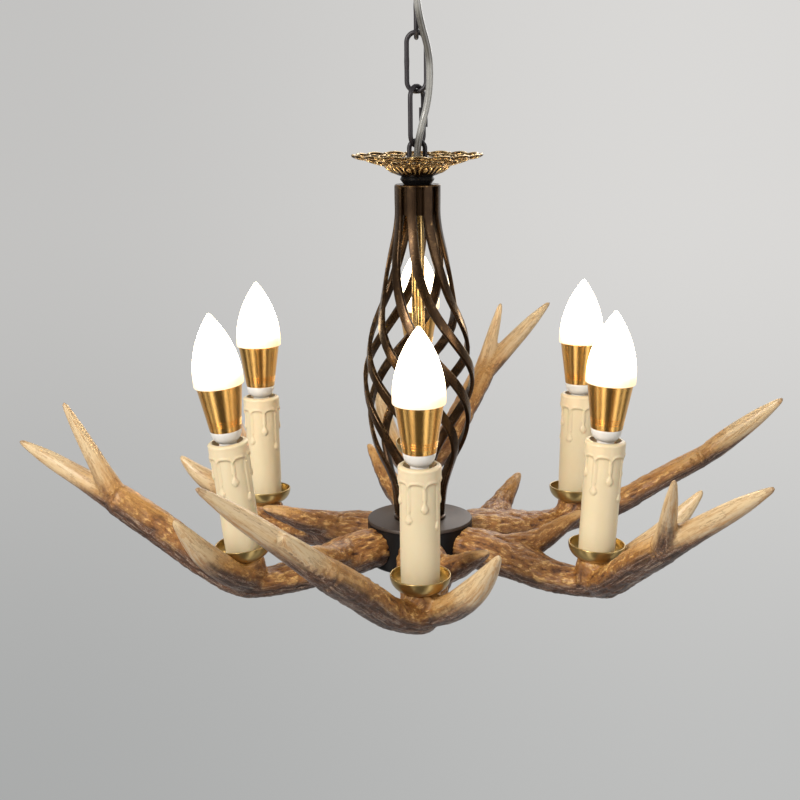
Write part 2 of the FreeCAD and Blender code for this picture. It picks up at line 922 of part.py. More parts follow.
def hub_finial():
    """The domed nut under the hub."""
    radius = size("finial_radius")
    height = size("finial_height")
    bore = size("tube_radius") + fit
    return revolved(
        "hub_finial",
        [
            (0, -height),
            (2, -height, -9),
            (radius, -1.5),
            (radius, 0),
            (bore, 0),
            (bore, -2),
            (0, -2),
        ],
        at_hub(-mm("hub_height")),
    )


def terminal_ring():
    """The ring of terminals round the tube, on the drum's floor."""
    low = hub_top - mm("hub_height") + 2
    outer = cylinder("ring_outer", size("terminal_radius"), size("terminal_height"), Vector(0, 0, low))
    hole = cylinder("ring_hole", size("tube_radius") + fit, 30, Vector(0, 0, low - 1))
    return cut("terminal_ring", outer, [hole])


# ---------------------------------------------------------------- arms


def seat_point(arm):
    """The middle of the cup's underside, in the arm's own frame."""
    return Vector(mm("seat_radius"), 0, cup_level(arm))


def cup_level(arm):
    return arm["cup"] - 9.0


def arm_frame(arm):
    return Placement(Vector(0, 0, hub_top), Rotation(Vector(0, 0, 1), arm["turn"]))


def seat_frame(arm):
    """Where the cup, candle and bulb of an arm stand: +Z is the candle's own axis."""
    lean = Rotation(Vector(0, 1, 0), arm["lean"])
    return arm_frame(arm) * Placement(seat_point(arm), lean)


def between(start, end, share):
    return tuple(a + (b - a) * share for a, b in zip(start, end))


def antler_branches(arm):
    """The antler's beam and tines: points with half width and half height, from the root."""
    lift = arm["lift"]
    fork = arm["fork"]
    seat = (mm("seat_radius"), 0, lift - 27.0)
    near_fork = between(seat, fork[:3], 0.62)
    past_seat = between(seat, fork[:3], 0.28)
    fork_width, fork_height = fork[3:]
    beam = [
        (34, 0, -18, 16.5, 14.5),
        (58, 2, -19 + 0.1 * lift, 20, 15),
        (84, 3, -23.5 + 0.4 * lift, 19.5, 13.5),
        (114, 1, -28.5 + 0.75 * lift, 14.5, 11.5),
        seat + (12.5, 10.5),
        (past_seat[0], past_seat[1] - 4, past_seat[2] - 4, (12 + fork_width) / 2, (10.5 + fork_height) / 2),
        (near_fork[0], near_fork[1] - 3, near_fork[2] - 1, fork_width, fork_height),
        fork[:3] + (fork_width * 0.95, fork_height * 0.95),
    ]
    outer = [
        fork[:3] + (fork_width * 0.9, fork_height * 0.9),
        between(fork[:3], arm["outer"], 0.33) + (8.5, 9.0),
        between(fork[:3], arm["outer"], 0.7) + (6.5, 7.0),
        arm["outer"] + (2.2, 2.2),
    ]
    inner = [
        fork[:3] + (fork_width * 0.8, fork_height * 0.8),
        between(fork[:3], arm["inner"], 0.3) + (8.0, 9.0),
        between(fork[:3], arm["inner"], 0.7) + (5.5, 6.0),
        arm["inner"] + (2.2, 2.2),
    ]
    side_tip = arm["side"]
    middle_height = 4 + 0.7 * lift
    side = [
        (140, 0, lift - 26, 11, 9.5),
        (160, 0.4 * side_tip[1], 0.9 * lift - 14.5, 10, 9.8),
        (182, 0.68 * side_tip[1], middle_height, 8.5, 9.8),
        (197, 0.87 * side_tip[1], (middle_height + side_tip[2]) / 2, 6.5, 7),
        side_tip + (2.5, 2.5),
    ]
    brow_tip = arm["brow"]
    brow_bend = (88, 22, 0.5 * lift - 12)
    brow = [
        (66, 5, 0.3 * lift - 17, 12, 11),
        brow_bend + (9.5, 9.5),
        between(brow_bend, brow_tip, 0.62) + (6, 6.5),
        brow_tip + (3, 3),
    ]
    return {"beam": beam, "outer": outer, "inner": inner, "side": side, "brow": brow}


def smoothed(points, steps=3):
    """Points on a smooth curve through the given ones, in all their values."""
    ends = [between(points[1], points[0], 2)] + points + [between(points[-2], points[-1], 2)]
    finer = []
    for before, start, end, after in zip(ends, ends[1:], ends[2:], ends[3:]):
        for step in range(steps):
            share = step / steps
            finer.append(
                tuple(
                    0.5 * (
                        2 * b
                        + (c - a) * share
                        + (2 * a - 5 * b + 4 * c - d) * share ** 2
                        + (3 * b - a - 3 * c + d) * share ** 3
                    )
                    for a, b, c, d in zip(before, start, end, after)
                )
            )
    finer.append(points[-1])
    return finer


def branch_solid(points):
    """A tapering solid through oval sections square to the branch."""
    points = smoothed(points)
    middles = [Vector(*point[:3]) for point in points]
    sections = []
    for index, middle in enumerate(middles):
        before = middles[max(index - 1, 0)]
        after = middles[min(index + 1, len(middles) - 1)]
        along = (after - before).normalize()
        across = Vector(0, 0, 1).cross(along).normalize()
        upward = along.cross(across)
        half_width, half_height = points[index][3:]
        ring = []
        for turn in polar(8):
            angle = math.radians(turn)
            shift = across * (half_width * math.cos(angle)) + upward * (half_height * math.sin(angle))
            ring.append(middle + shift)
        curve = Part.BSplineCurve()
        curve.interpolate(ring, PeriodicFlag=True)
        sections.append(Part.Wire([curve.toShape()]))
    return Part.makeLoft(sections, True, False)


def antler(name, arm):
    """One moulded antler with its cup's stub, bored for the threaded tubes and the wire."""
    solids = [branch_solid(points) for points in antler_branches(arm).values()]
    lean = Rotation(Vector(0, 1, 0), arm["lean"]).multVec(Vector(0, 0, 1))
    seat = seat_point(arm)
    beam_middle = arm["lift"] - 27.0
    depth = cup_level(arm) - beam_middle
    stub_foot = seat - lean * depth
    foot_radius = mm("stub_radius") + 1.2
    solids.append(Part.makeCone(foot_radius, mm("stub_radius"), depth, stub_foot, lean))
    shape = solids[0].multiFuse(solids[1:])
    root = Vector(0, 0, -mm("arm_axis_drop"))
    hub = Part.makeCylinder(mm("hub_radius") + fit, 120, Vector(0, 0, -60))
    nipple = Part.makeCylinder(
        mm("nipple_radius") + fit, mm("arm_nipple_end") + fit, root, Vector(1, 0, 0)
    )
    corner = wire_corner(arm)
    start = nipple_end()
    wireway = Part.makeCylinder(mm("wireway_radius"), (corner - start).Length + 1, start, corner - start)
    reach = (seat - corner).Length
    seat_bore = Part.makeCylinder(
        mm("nipple_radius") + fit, reach + 3, corner - lean * 2, lean
    )
    shape = shape.cut(hub.fuse([nipple, wireway, seat_bore, cup_room(arm)]))
    shape = max(shape.Solids, key=lambda solid: solid.Volume)
    feature = shaped(name, shape)
    feature.Placement = arm_frame(arm)
    return feature


def cup_room(arm):
    """The room that the cup and its candle need in the antler, in the arm's frame."""
    clear = mm("cup_clearance")
    rim = mm("cup_radius") + clear
    foot = cup_foot().number + clear
    height = mm("cup_height")
    top = height + mm("candle_height")
    corners = [Vector(0, 0, 0), Vector(foot, 0, 0), Vector(rim, height, 0), Vector(rim, top, 0), Vector(0, top, 0)]
    edges = [Part.LineSegment(a, b).toShape() for a, b in zip(corners, corners[1:] + corners[:1])]
    edges[1] = profile_arc(corners[1], corners[2], -20).toShape()
    face = Part.Face(Part.Wire(Part.__sortEdges__(edges)))
    room = face.revolve(Vector(0, 0, 0), Vector(0, 1, 0), 360)
    lean = Rotation(Vector(0, 1, 0), arm["lean"]).multVec(Vector(0, 0, 1))
    room.Placement = Placement(seat_point(arm), Rotation(Vector(0, 1, 0), lean))
    return room


def nipple_end():
    """Where an arm's wire leaves its threaded tube, in the arm's frame."""
    return Vector(mm("arm_nipple_end") - 1, 0, -mm("arm_axis_drop"))


def wire_corner(arm):
    """Where the arm's wire turns up towards the lampholder, in the arm's frame."""
    lean = Rotation(Vector(0, 1, 0), arm["lean"]).multVec(Vector(0, 0, 1))
    return seat_point(arm) - lean * (mm("seat_nipple_depth") + 3)


def arm_fasteners():
    """Each arm's threaded tubes: one into the hub, with its nut, and one under the cup."""
    pieces = []
    for arm in ARMS.values():
        way = around(1, arm["turn"], 0)
        height = hub_top - mm("arm_axis_drop")
        inner_end = mm("hub_radius") - mm("hub_wall") - mm("nut_height") - 3
        place = way * inner_end + Vector(0, 0, height)
        outer = cylinder("arm_nipple_rod", size("nipple_radius"), size("arm_nipple_end") - inner_end, place, way)
        bore = cylinder("arm_nipple_bore", size("nipple_bore"), size("arm_nipple_end"), place, way)
        pieces.append(cut("arm_nipple", outer, [bore]))
        nut_face = math.sqrt((mm("hub_radius") - mm("hub_wall")) ** 2 - mm("nut_radius") ** 2)
        nut_place = way * (nut_face - mm("nut_height") - 0.1) + Vector(0, 0, height)
        nut = doc.addObject("Part::Prism", "arm_nut_blank")
        nut.Polygon = 6
        bind(nut, "Circumradius", size("nut_radius"))
        bind(nut, "Height", size("nut_height"))
        nut.Placement = Placement(nut_place, Rotation(Vector(0, 0, 1), way))
        hole = cylinder("arm_nut_bore", size("nipple_radius") + fit, 12, nut_place - way * 2, way)
        pieces.append(cut("arm_nut", nut, [hole]))
        pieces.append(seat_nipple(arm))
    return grouped("arm_fasteners", pieces)


def arm_wires():
    """The wire of each arm, from the terminal ring through the antler to its lampholder."""
    wires = []
    for name, arm in ARMS.items():
        lean = Rotation(Vector(0, 1, 0), arm["lean"]).multVec(Vector(0, 0, 1))
        start = Vector(mm("terminal_radius"), 0, -mm("arm_axis_drop"))
        corner = wire_corner(arm)
        end = seat_point(arm) + lean * (mm("holder_height") - mm("socket_depth") - 6)
        corners = [start, nipple_end(), corner, end]
        path, length = rounded_path(corners, f"wire {name}", bends=[mm("wire_sweep"), mm("wire_bend")])
        wire = tube_along(path, length, mm("wire_radius"), corners[0], corners[1])
        wire.Placement = arm_frame(arm)
        wires.append(wire)
    return shaped("arm_wires", Part.makeCompound(wires))


def on_seat(name, profile, arm):
    return revolved(name, profile, seat_frame(arm))


def cup_foot():
    """The radius of the cup's flat floor, which the candle's foot just fits."""
    return size("candle_radius") - 0.6 + size("candle_seat_clearance")


def cup(name, arm):
    """The brass cup under a candle."""
    sheet_high = size("cup_sheet")
    foot = cup_foot()
    rim = size("cup_radius")
    height = size("cup_height")
    bore = size("nipple_radius") + fit
    return on_seat(
        name,
        [
            (bore, 0),
            (foot, 0, -20),
            (rim, height),
            (rim - sheet_high, height, 18),
            (foot, sheet_high),
            (bore, sheet_high),
        ],
        arm,
    )


def candle(name, arm):
    """The ivory sleeve, with its thicker cap where the wax drips start."""
    foot = size("cup_sheet")
    radius = size("candle_radius")
    cap = radius + size("candle_cap_thickness")
    inner = radius - size("candle_wall")
    top = foot + size("candle_height")
    return on_seat(
        name,
        [
            (inner, foot),
            (radius - 0.6, foot),
            (radius, foot + 20),
            (radius, top - size("candle_cap_height") - 1.5),
            (cap, top - size("candle_cap_height")),
            (cap, top - 2),
            (cap - 2, top),
            (inner, top),
        ],
        arm,
    )


def lampholder(arm):
    """The insulating holder in a candle, with the deep socket for the lamp's screw cap."""
    foot = size("cup_sheet")
    top = foot + size("holder_height")
    radius = size("holder_radius")
    socket = size("cap_radius") + size("slide_clearance")
    floor = top - size("socket_depth")
    return on_seat(
        "lampholder",
        [
            (size("nipple_radius") + fit, foot),
            (radius, foot),
            (radius, top),
            (socket, top),
            (socket, floor),
            (size("wire_radius") + 0.4, floor),
            (size("wire_radius") + 0.4, foot + 9),
            (size("nipple_radius") + fit, foot + 9),
        ],
        arm,
    )


def seat_nipple(arm):
    """The threaded tube that holds cup and lampholder on the antler's stub."""
    low = -size("seat_nipple_depth")
    high = size("cup_sheet") + 8.5
    outer = size("nipple_radius")
    bore = size("nipple_bore")
    return on_seat("seat_nipple", [(bore, low), (outer, low), (outer, high), (bore, high)], arm)


def bulb_base(name, arm):
    """The white collar and the screw cap below it."""
    foot = size("cup_sheet")
    cap = size("cap_radius")
    low = foot + size("holder_height") - size("cap_length")
    turn = size("cap_length") * 0.125
    thread = []
    for index in range(5):
        thread += [(cap, low + 4 + turn * index), (cap - 0.5, low + 4 + turn * (index + 0.5))]
    return on_seat(
        name,
        [
            (0, low - 1),
            (2.5, low - 1),
            (4.5, low + 2),
        ]
        + thread
        + [
            (cap, foot + size("holder_height") - 2),
            (cap, size("collar_bottom")),
            (size("collar_mouth_radius"), size("collar_bottom") + 1),
            (size("collar_rim_radius"), size("sink_bottom")),
            (0, size("sink_bottom")),
        ],
        arm,
    )


def bulb_sink(name, arm):
    """The gilded heat sink, a tapered cup with three fine grooves near its foot."""
    foot = size("collar_rim_radius") + 0.3
    low = size("sink_bottom")
    top = size("sink_top")
    wide = size("sink_top_radius")
    inner = wide - 1.2
    grooves = []
    for index in range(3):
        rise = 4.0 + 1.8 * index
        radius = foot + 0.13 * rise
        grooves += [
            (radius, low + rise),
            (radius - 0.35, low + rise + 0.3),
            (radius, low + rise + 0.6),
        ]
    return on_seat(
        name,
        [(0, low), (foot, low)]
        + grooves
        + [
            (wide, top),
            (inner, top),
            (inner, top - 1.5),
            (0, top - 1.5),
        ],
        arm,
    )


def bulb_dome(name, arm):
    """The opal flame-shaped dome over the lamp's board."""
    low = size("sink_top")
    radius = size("dome_radius")
    top = low + size("dome_height")
    wall = size("dome_wall")
    tip = size("dome_tip")
    return on_seat(
        name,
        [
            (radius, low, -84.0),
            (tip, top),
            (0, top + 0.3),
            (0, top - wall * 3),
            (tip * 0.5, top - wall * 3, 78.0),
            (radius - wall, low),
        ],
        arm,
    )


# ---------------------------------------------------------------- the whole

nodes = [
    ceiling_bracket(),
    canopy(),
    canopy_fasteners(),
    canopy_loop(),
    cord_grip(),
    chain_link("chain_link_0", pivot_heights[0], "link_length", "link_width", 0),
    chain_link("chain_link_1", pivot_heights[1], "link_length", "link_width", 90),
    chain_link(
        "chain_link_2", pivot_heights[2], "link_length", "link_width", mm("lower_link_turn")
    ),
    chain_link(
        "quick_link", pivot_heights[3], "quick_link_length", "quick_link_width",
        mm("quick_link_turn"),
    ),
    link_sleeve(),
    fixture_loop(),
    cord(),
    filigree_plate(),
    petal_bowl(),
    neck_cone(),
    twisted_cage(),
    centre_tube(),
    hub_cover(),
    hub_drum(),
    hub_finial(),
    terminal_ring(),
    arm_fasteners(),
    grouped("wiring", [main_cable(), arm_wires()]),
    grouped("lampholders", [lampholder(arm) for arm in ARMS.values()]),
]
for arm_name, arm_facts in ARMS.items():
    nodes.append(antler(f"antler_{arm_name}", arm_facts))
    nodes.append(cup(f"cup_{arm_name}", arm_facts))
    nodes.append(candle(f"candle_{arm_name}", arm_facts))
    nodes.append(bulb_base(f"bulb_base_{arm_name}", arm_facts))
    nodes.append(bulb_sink(f"bulb_sink_{arm_name}", arm_facts))
    nodes.append(bulb_dome(f"bulb_dome_{arm_name}", arm_facts))

doc.recompute()
for item in doc.Objects:
    if "Invalid" in item.State or "Error" in item.State:
        raise RuntimeError(f"{item.Label} did not compute: {item.State}")
for node in nodes:
    if node.Shape.isNull() or not node.Shape.isValid():
        raise RuntimeError(f"{node.Label} has no valid shape")

os.makedirs("parts", exist_ok=True)
for node in nodes:
    node.Shape.exportStep(f"parts/{node.Label}.step")
print(f"hub top {hub_top:.2f}, pivots {[round(height, 2) for height in pivot_heights]}")
print(f"{len(nodes)} sub-parts written")
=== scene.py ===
"""Six-light antler chandelier: its visible pieces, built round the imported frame, and its studio."""

from __future__ import annotations

import json
import logging
import math
import random
from dataclasses import dataclass, field
from enum import Enum
from typing import Callable, Iterable, Sequence

import bmesh
import bpy
from mathutils import Matrix, Vector, noise
from mathutils.kdtree import KDTree

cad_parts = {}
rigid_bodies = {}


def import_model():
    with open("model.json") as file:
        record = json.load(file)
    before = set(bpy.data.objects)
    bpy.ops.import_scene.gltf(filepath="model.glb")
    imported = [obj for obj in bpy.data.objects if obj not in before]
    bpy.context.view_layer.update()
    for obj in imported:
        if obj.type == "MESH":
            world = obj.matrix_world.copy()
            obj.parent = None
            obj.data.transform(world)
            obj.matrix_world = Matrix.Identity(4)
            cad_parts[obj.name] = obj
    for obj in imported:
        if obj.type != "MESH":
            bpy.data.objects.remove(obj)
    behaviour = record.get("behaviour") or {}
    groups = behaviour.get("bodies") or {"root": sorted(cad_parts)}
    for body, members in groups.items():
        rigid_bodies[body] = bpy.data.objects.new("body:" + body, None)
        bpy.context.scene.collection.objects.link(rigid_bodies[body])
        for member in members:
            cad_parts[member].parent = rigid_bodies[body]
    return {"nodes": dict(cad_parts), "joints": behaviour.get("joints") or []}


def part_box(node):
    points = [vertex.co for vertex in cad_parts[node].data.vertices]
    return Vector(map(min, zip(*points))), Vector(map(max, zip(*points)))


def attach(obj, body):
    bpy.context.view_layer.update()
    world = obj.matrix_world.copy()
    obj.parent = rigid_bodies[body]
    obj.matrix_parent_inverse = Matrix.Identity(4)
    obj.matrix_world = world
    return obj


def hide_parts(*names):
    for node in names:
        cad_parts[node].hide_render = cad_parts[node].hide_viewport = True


LOG = logging.getLogger("chandelier")
MM = 0.001
UP = Vector((0, 0, 1))

Point = tuple[float, float]
Socket = bpy.types.NodeSocket


# ------------------------------------------------------------------ mesh making


class Forge:
    """Mesh steps that every sub-assembly shares. Sizes are in metres."""

    @staticmethod
    def arc(start: Point, end: Point, bulge: float, steps: int) -> list[Point]:
        """Points on an arc, the first left out.

        Args:
            start: Where the arc begins.
            end: Where it ends, which is its last point.
            bulge: How far its middle stands to the right of the straight way there.
            steps: How many points it has.

        Returns:
            The points as (radius, height) pairs.
        """
        a, b = Vector(start), Vector(end)
        half = (b - a) / 2
        reach = half.length
        radius = (reach * reach + bulge * bulge) / (2 * abs(bulge))
        side = Vector((half.y, -half.x)).normalized() * math.copysign(1, bulge)
        centre = a + half - side * (radius - abs(bulge))
        spread = 2 * math.asin(min(1.0, reach / radius))
        first = a - centre
        turn = spread if bulge > 0 else -spread
        points = []
        for step in range(1, steps + 1):
            angle = turn * step / steps
            cos, sin = math.cos(angle), math.sin(angle)
            points.append((
                centre.x + first.x * cos - first.y * sin,
                centre.y + first.x * sin + first.y * cos,
            ))
        return points

    @staticmethod
    def lathe(profile: Sequence[Point], steps: int, closed: bool = True) -> bmesh.types.BMesh:
        """A turned solid about Z.

        Args:
            profile: Its outline as (radius, height) pairs.
            steps: How many facets go round.
            closed: Whether the outline's ends are joined; left off where both lie on the axis.

        Returns:
            A new mesh.
        """
        bm = bmesh.new()
        verts = [bm.verts.new((radius, 0, height)) for radius, height in profile]
        edges = [bm.edges.new(pair) for pair in zip(verts, verts[1:])]
        if closed:
            edges.append(bm.edges.new((verts[-1], verts[0])))
        bmesh.ops.spin(
            bm, geom=verts + edges, cent=(0, 0, 0), axis=UP, angle=2 * math.pi,
            steps=steps, use_merge=True, use_duplicate=False,
        )
        bmesh.ops.remove_doubles(bm, verts=bm.verts, dist=1e-6)
        bmesh.ops.recalc_face_normals(bm, faces=bm.faces)
        return bm

    @staticmethod
    def station(
        middle: Vector, along: Vector, upward: Vector, width: float, height: float
    ) -> Matrix:
        """The place of one section: its local X is across and its local Y is upward."""
        along = along.normalized()
        across = upward.cross(along).normalized()
        raised = along.cross(across)
        return Matrix((
            (across.x * width, raised.x * height, along.x, middle.x),
            (across.y * width, raised.y * height, along.y, middle.y),
            (across.z * width, raised.z * height, along.z, middle.z),
            (0, 0, 0, 1),
        ))

    @staticmethod
    def sweep(
        bm: bmesh.types.BMesh, stations: Sequence[Matrix], segments: int, ring: bool = False
    ) -> list[bmesh.types.BMEdge]:
        """Draws a section of unit radius through its stations.

        Args:
            bm: The mesh that it is added to.
            stations: Where the section stands, one after another.
            segments: How many sides it has.
            ring: Whether the last station is joined to the first.

        Returns:
            The edges that run lengthwise.
        """
        start = bmesh.ops.create_circle(
            bm, cap_ends=False, radius=1.0, segments=segments, matrix=stations[0]
        )["verts"]
        first = list({edge for vert in start for edge in vert.link_edges})
        verts, edges, lengthwise = list(start), list(first), []
        for before, after in zip(stations, stations[1:]):
            made = bmesh.ops.extrude_edge_only(bm, edges=edges)["geom"]
            verts = [item for item in made if isinstance(item, bmesh.types.BMVert)]
            edges = [
                item for item in made
                if isinstance(item, bmesh.types.BMEdge) and all(v in verts for v in item.verts)
            ]
            new = set(verts)
            for vert in verts:
                lengthwise += [e for e in vert.link_edges if e.other_vert(vert) not in new]
            bmesh.ops.transform(bm, matrix=after @ before.inverted(), verts=verts)
        if ring:
            bmesh.ops.bridge_loops(bm, edges=first + edges)
        else:
            bmesh.ops.holes_fill(bm, edges=first + edges, sides=0)
        return lengthwise

    @staticmethod
    def wire(
        bm: bmesh.types.BMesh, path: Sequence[Vector], radius: float, segments: int,
        ring: bool = False,
    ) -> None:
        """A round wire along a path, with its sections square to it."""
        count = len(path)
        stations = []
        hint = UP
        for index, middle in enumerate(path):
            before = path[index - 1] if ring or index else middle
            after = path[(index + 1) % count] if ring or index < count - 1 else middle
            along = (after - before).normalized()
            if abs(along.dot(hint)) > 0.9:
                hint = Vector((along.z, along.x, along.y))
            place = Forge.station(middle, along, hint, radius, radius)
            hint = Vector(place.col[1][:3]).normalized()
            stations.append(place)
        Forge.sweep(bm, stations, segments, ring)
        bmesh.ops.recalc_face_normals(bm, faces=bm.faces)

    @staticmethod
    def attribute(mesh: bpy.types.Mesh, name: str, values: Iterable[float]) -> None:
        """Stores one number for each point of a mesh."""
        layer = mesh.attributes.new(name, "FLOAT", "POINT")
        layer.data.foreach_set("value", list(values))

    @staticmethod
    def vectors(mesh: bpy.types.Mesh, name: str, values: Iterable[Vector]) -> None:
        """Stores one vector for each point of a mesh."""
        layer = mesh.attributes.new(name, "FLOAT_VECTOR", "POINT")
        layer.data.foreach_set("vector", [part for value in values for part in value])

    @staticmethod
    def oval(
        length: float, width: float, wire: float, bend_steps: int, leg_steps: int
    ) -> list[Vector]:
        """The closed middle line of a chain link in X and Z, about its own middle."""
        reach = (width - wire) / 2
        straight = (length - wire) / 2 - reach
        points = []
        for side in (1, -1):
            for step in range(bend_steps + 1):
                angle = math.pi * step / bend_steps + (0 if side > 0 else math.pi)
                points.append(Vector((
                    reach * math.cos(angle), 0, side * straight + reach * math.sin(angle)
                )))
            for step in range(1, leg_steps):
                height = side * straight * (1 - 2 * step / leg_steps)
                points.append(Vector((-side * reach, 0, height)))
        return points


@dataclass(frozen=True)
class Fitter:
    """Turns a finished mesh into a piece that rides on its body."""

    body: str
    slot: str

    def fit(
        self, bm: bmesh.types.BMesh, name: str, material: bpy.types.Material,
        replaces: Sequence[str] = (), place: Matrix = Matrix(), crease: float = 40.0,
    ) -> bpy.types.Object:
        """Makes the object for a mesh.

        Args:
            bm: The mesh, which is used up.
            name: The piece's name.
            material: Its finish.
            replaces: The nodes that it stands for.
            place: Where it goes in the frame.
            crease: The angle, in degrees, past which an edge is sharp.

        Returns:
            The piece.
        """
        bmesh.ops.transform(bm, matrix=place, verts=bm.verts)
        mesh = bpy.data.meshes.new(name)
        bm.to_mesh(mesh)
        bm.free()
        return self.fit_mesh(mesh, name, material, replaces, crease)

    def fit_mesh(
        self, mesh: bpy.types.Mesh, name: str, material: bpy.types.Material,
        replaces: Sequence[str] = (), crease: float = 40.0,
    ) -> bpy.types.Object:
        """Makes the object for mesh data that already lies in the frame."""
        mesh.polygons.foreach_set("use_smooth", [True] * len(mesh.polygons))
        mesh.set_sharp_from_angle(angle=math.radians(crease))
        mesh.materials.clear()
        mesh.materials.append(material)
        piece = bpy.data.objects.new(name, mesh)
        bpy.context.scene.collection.objects.link(piece)
        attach(piece, self.body)
        if replaces:
            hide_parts(*replaces)
        LOG.info("%s on %s: %d faces", name, self.body, len(mesh.polygons))
        return piece


# ------------------------------------------------------------------ finishes


class Graph:
    """A short way to lay out shader nodes."""

    def __init__(self, tree: bpy.types.NodeTree) -> None:
        """Keeps the tree that nodes are added to."""
        self.tree = tree

    def add(self, kind: str, inputs: dict[str | int, object] | None = None, **settings: object):
        """Adds one node.

        Args:
            kind: The node's type, without its Shader prefix.
            inputs: Values or sockets by input name or number.
            **settings: The node's own properties.

        Returns:
            The node.
        """
        node = self.tree.nodes.new("ShaderNode" + kind)
        for name, value in settings.items():
            setattr(node, name, value)
        for name, value in (inputs or {}).items():
            socket = node.inputs[name]
            if isinstance(value, bpy.types.NodeSocket):
                self.tree.links.new(value, socket)
            else:
                socket.default_value = value
        return node

    def math(self, operation: str, first: object, second: object = 0.0, clamp: bool = False) -> Socket:
        """One sum on two numbers."""
        node = self.add("Math", {0: first, 1: second}, operation=operation, use_clamp=clamp)
        return node.outputs[0]

    def blend(self, share: object, first: object, second: object, way: str = "MIX") -> Socket:
        """A mix of two colours."""
        node = self.add("Mix", {0: share, 6: first, 7: second}, data_type="RGBA", blend_type=way)
        return node.outputs[2]

    def ramp(self, value: Socket, low: float, high: float) -> Socket:
        """A smooth step from 0 at low to 1 at high."""
        node = self.add(
            "MapRange", {"Value": value, "From Min": low, "From Max": high},
            interpolation_type="SMOOTHSTEP",
        )
        return node.outputs[0]

    def attribute(self, name: str, output: str = "Fac") -> Socket:
        """A value stored on the mesh."""
        return self.add("Attribute", attribute_name=name).outputs[output]

    def grain(self, where: Socket, scale: float, detail: float = 4.0, rough: float = 0.6) -> Socket:
        """Soft noise from 0 to 1."""
        node = self.add(
            "TexNoise", {"Vector": where, "Scale": scale, "Detail": detail, "Roughness": rough}
        )
        return node.outputs["Fac"]

    def stretched(self, where: Socket, scale: tuple[float, float, float]) -> Socket:
        """The same coordinates, scaled unevenly."""
        return self.add("Mapping", {"Vector": where, "Scale": scale}).outputs[0]


class Effects:
    """The effects that several finishes use, each a node group made once."""

    @staticmethod
    def _new(name: str, sockets: Sequence[tuple[str, str, str, object]]) -> bpy.types.NodeTree:
        """An empty group with its sockets: direction, kind, name and default."""
        tree = bpy.data.node_groups.new(name, "ShaderNodeTree")
        for way, kind, label, default in sockets:
            socket = tree.interface.new_socket(
                name=label, in_out=way, socket_type="NodeSocket" + kind
            )
            if default is not None:
                socket.default_value = default
        return tree

    @staticmethod
    def tarnish() -> bpy.types.NodeTree:
        """Cloudy wear between two tones, with its roughness and a fine height."""
        if "tarnish" in bpy.data.node_groups:
            return bpy.data.node_groups["tarnish"]
        tree = Effects._new("tarnish", (
            ("INPUT", "Color", "Dark", (0.1, 0.1, 0.1, 1)),
            ("INPUT", "Color", "Bright", (0.5, 0.5, 0.5, 1)),
            ("INPUT", "Float", "Bias", 0.5),
            ("INPUT", "Float", "Scale", 60.0),
            ("INPUT", "Float", "Smooth Roughness", 0.3),
            ("INPUT", "Float", "Dull Roughness", 0.6),
            ("OUTPUT", "Color", "Color", None),
            ("OUTPUT", "Float", "Roughness", None),
            ("OUTPUT", "Float", "Height", None),
        ))
        graph = Graph(tree)
        given = tree.nodes.new("NodeGroupInput").outputs
        out = tree.nodes.new("NodeGroupOutput").inputs
        where = graph.add("TexCoord").outputs["Object"]
        clouds = graph.add(
            "TexNoise", {"Vector": where, "Scale": given["Scale"], "Detail": 6.0, "Roughness": 0.65}
        ).outputs["Fac"]
        specks = graph.grain(where, 900.0, 3.0)
        mixed = graph.math("ADD", graph.math("MULTIPLY", clouds, 0.8), graph.math("MULTIPLY", specks, 0.2))
        low = graph.math("SUBTRACT", given["Bias"], 0.12)
        high = graph.math("ADD", given["Bias"], 0.12)
        share = graph.add(
            "MapRange", {"Value": mixed, "From Min": low, "From Max": high},
            interpolation_type="SMOOTHSTEP",
        ).outputs[0]
        tree.links.new(graph.blend(share, given["Dark"], given["Bright"]), out["Color"])
        rough = graph.add("Mix", {0: share, 2: given["Dull Roughness"], 3: given["Smooth Roughness"]})
        tree.links.new(rough.outputs[0], out["Roughness"])
        tree.links.new(specks, out["Height"])
        return tree

    @staticmethod
    def rubbed() -> bpy.types.NodeTree:
        """Bright metal where edges are rubbed, and painted highlight where a piece's marks ask for one, broken up by
        noise. It reads the piece's marks of rubbed wear and painted highlight.
        """
        if "rubbed" in bpy.data.node_groups:
            return bpy.data.node_groups["rubbed"]
        tree = Effects._new("rubbed", (
            ("INPUT", "Color", "Base", (0.1, 0.1, 0.1, 1)),
            ("INPUT", "Color", "Bare", (0.5, 0.4, 0.2, 1)),
            ("INPUT", "Float", "Amount", 1.0),
            ("OUTPUT", "Color", "Color", None),
            ("OUTPUT", "Float", "Mask", None),
        ))
        graph = Graph(tree)
        given = tree.nodes.new("NodeGroupInput").outputs
        out = tree.nodes.new("NodeGroupOutput").inputs
        where = graph.add("TexCoord").outputs["Object"]
        broken = graph.math("SUBTRACT", graph.grain(where, 260.0, 5.0, 0.7), 0.45)
        # The marks hold rubbed wear and, on some pieces, painted highlight.
        rub = graph.math("ADD", graph.attribute("rub"), graph.math("MULTIPLY", broken, 1.2))
        mask = graph.math("MULTIPLY", graph.ramp(rub, 0.35, 0.8), given["Amount"], clamp=True)
        tree.links.new(graph.blend(mask, given["Base"], given["Bare"]), out["Color"])
        tree.links.new(mask, out["Mask"])
        return tree


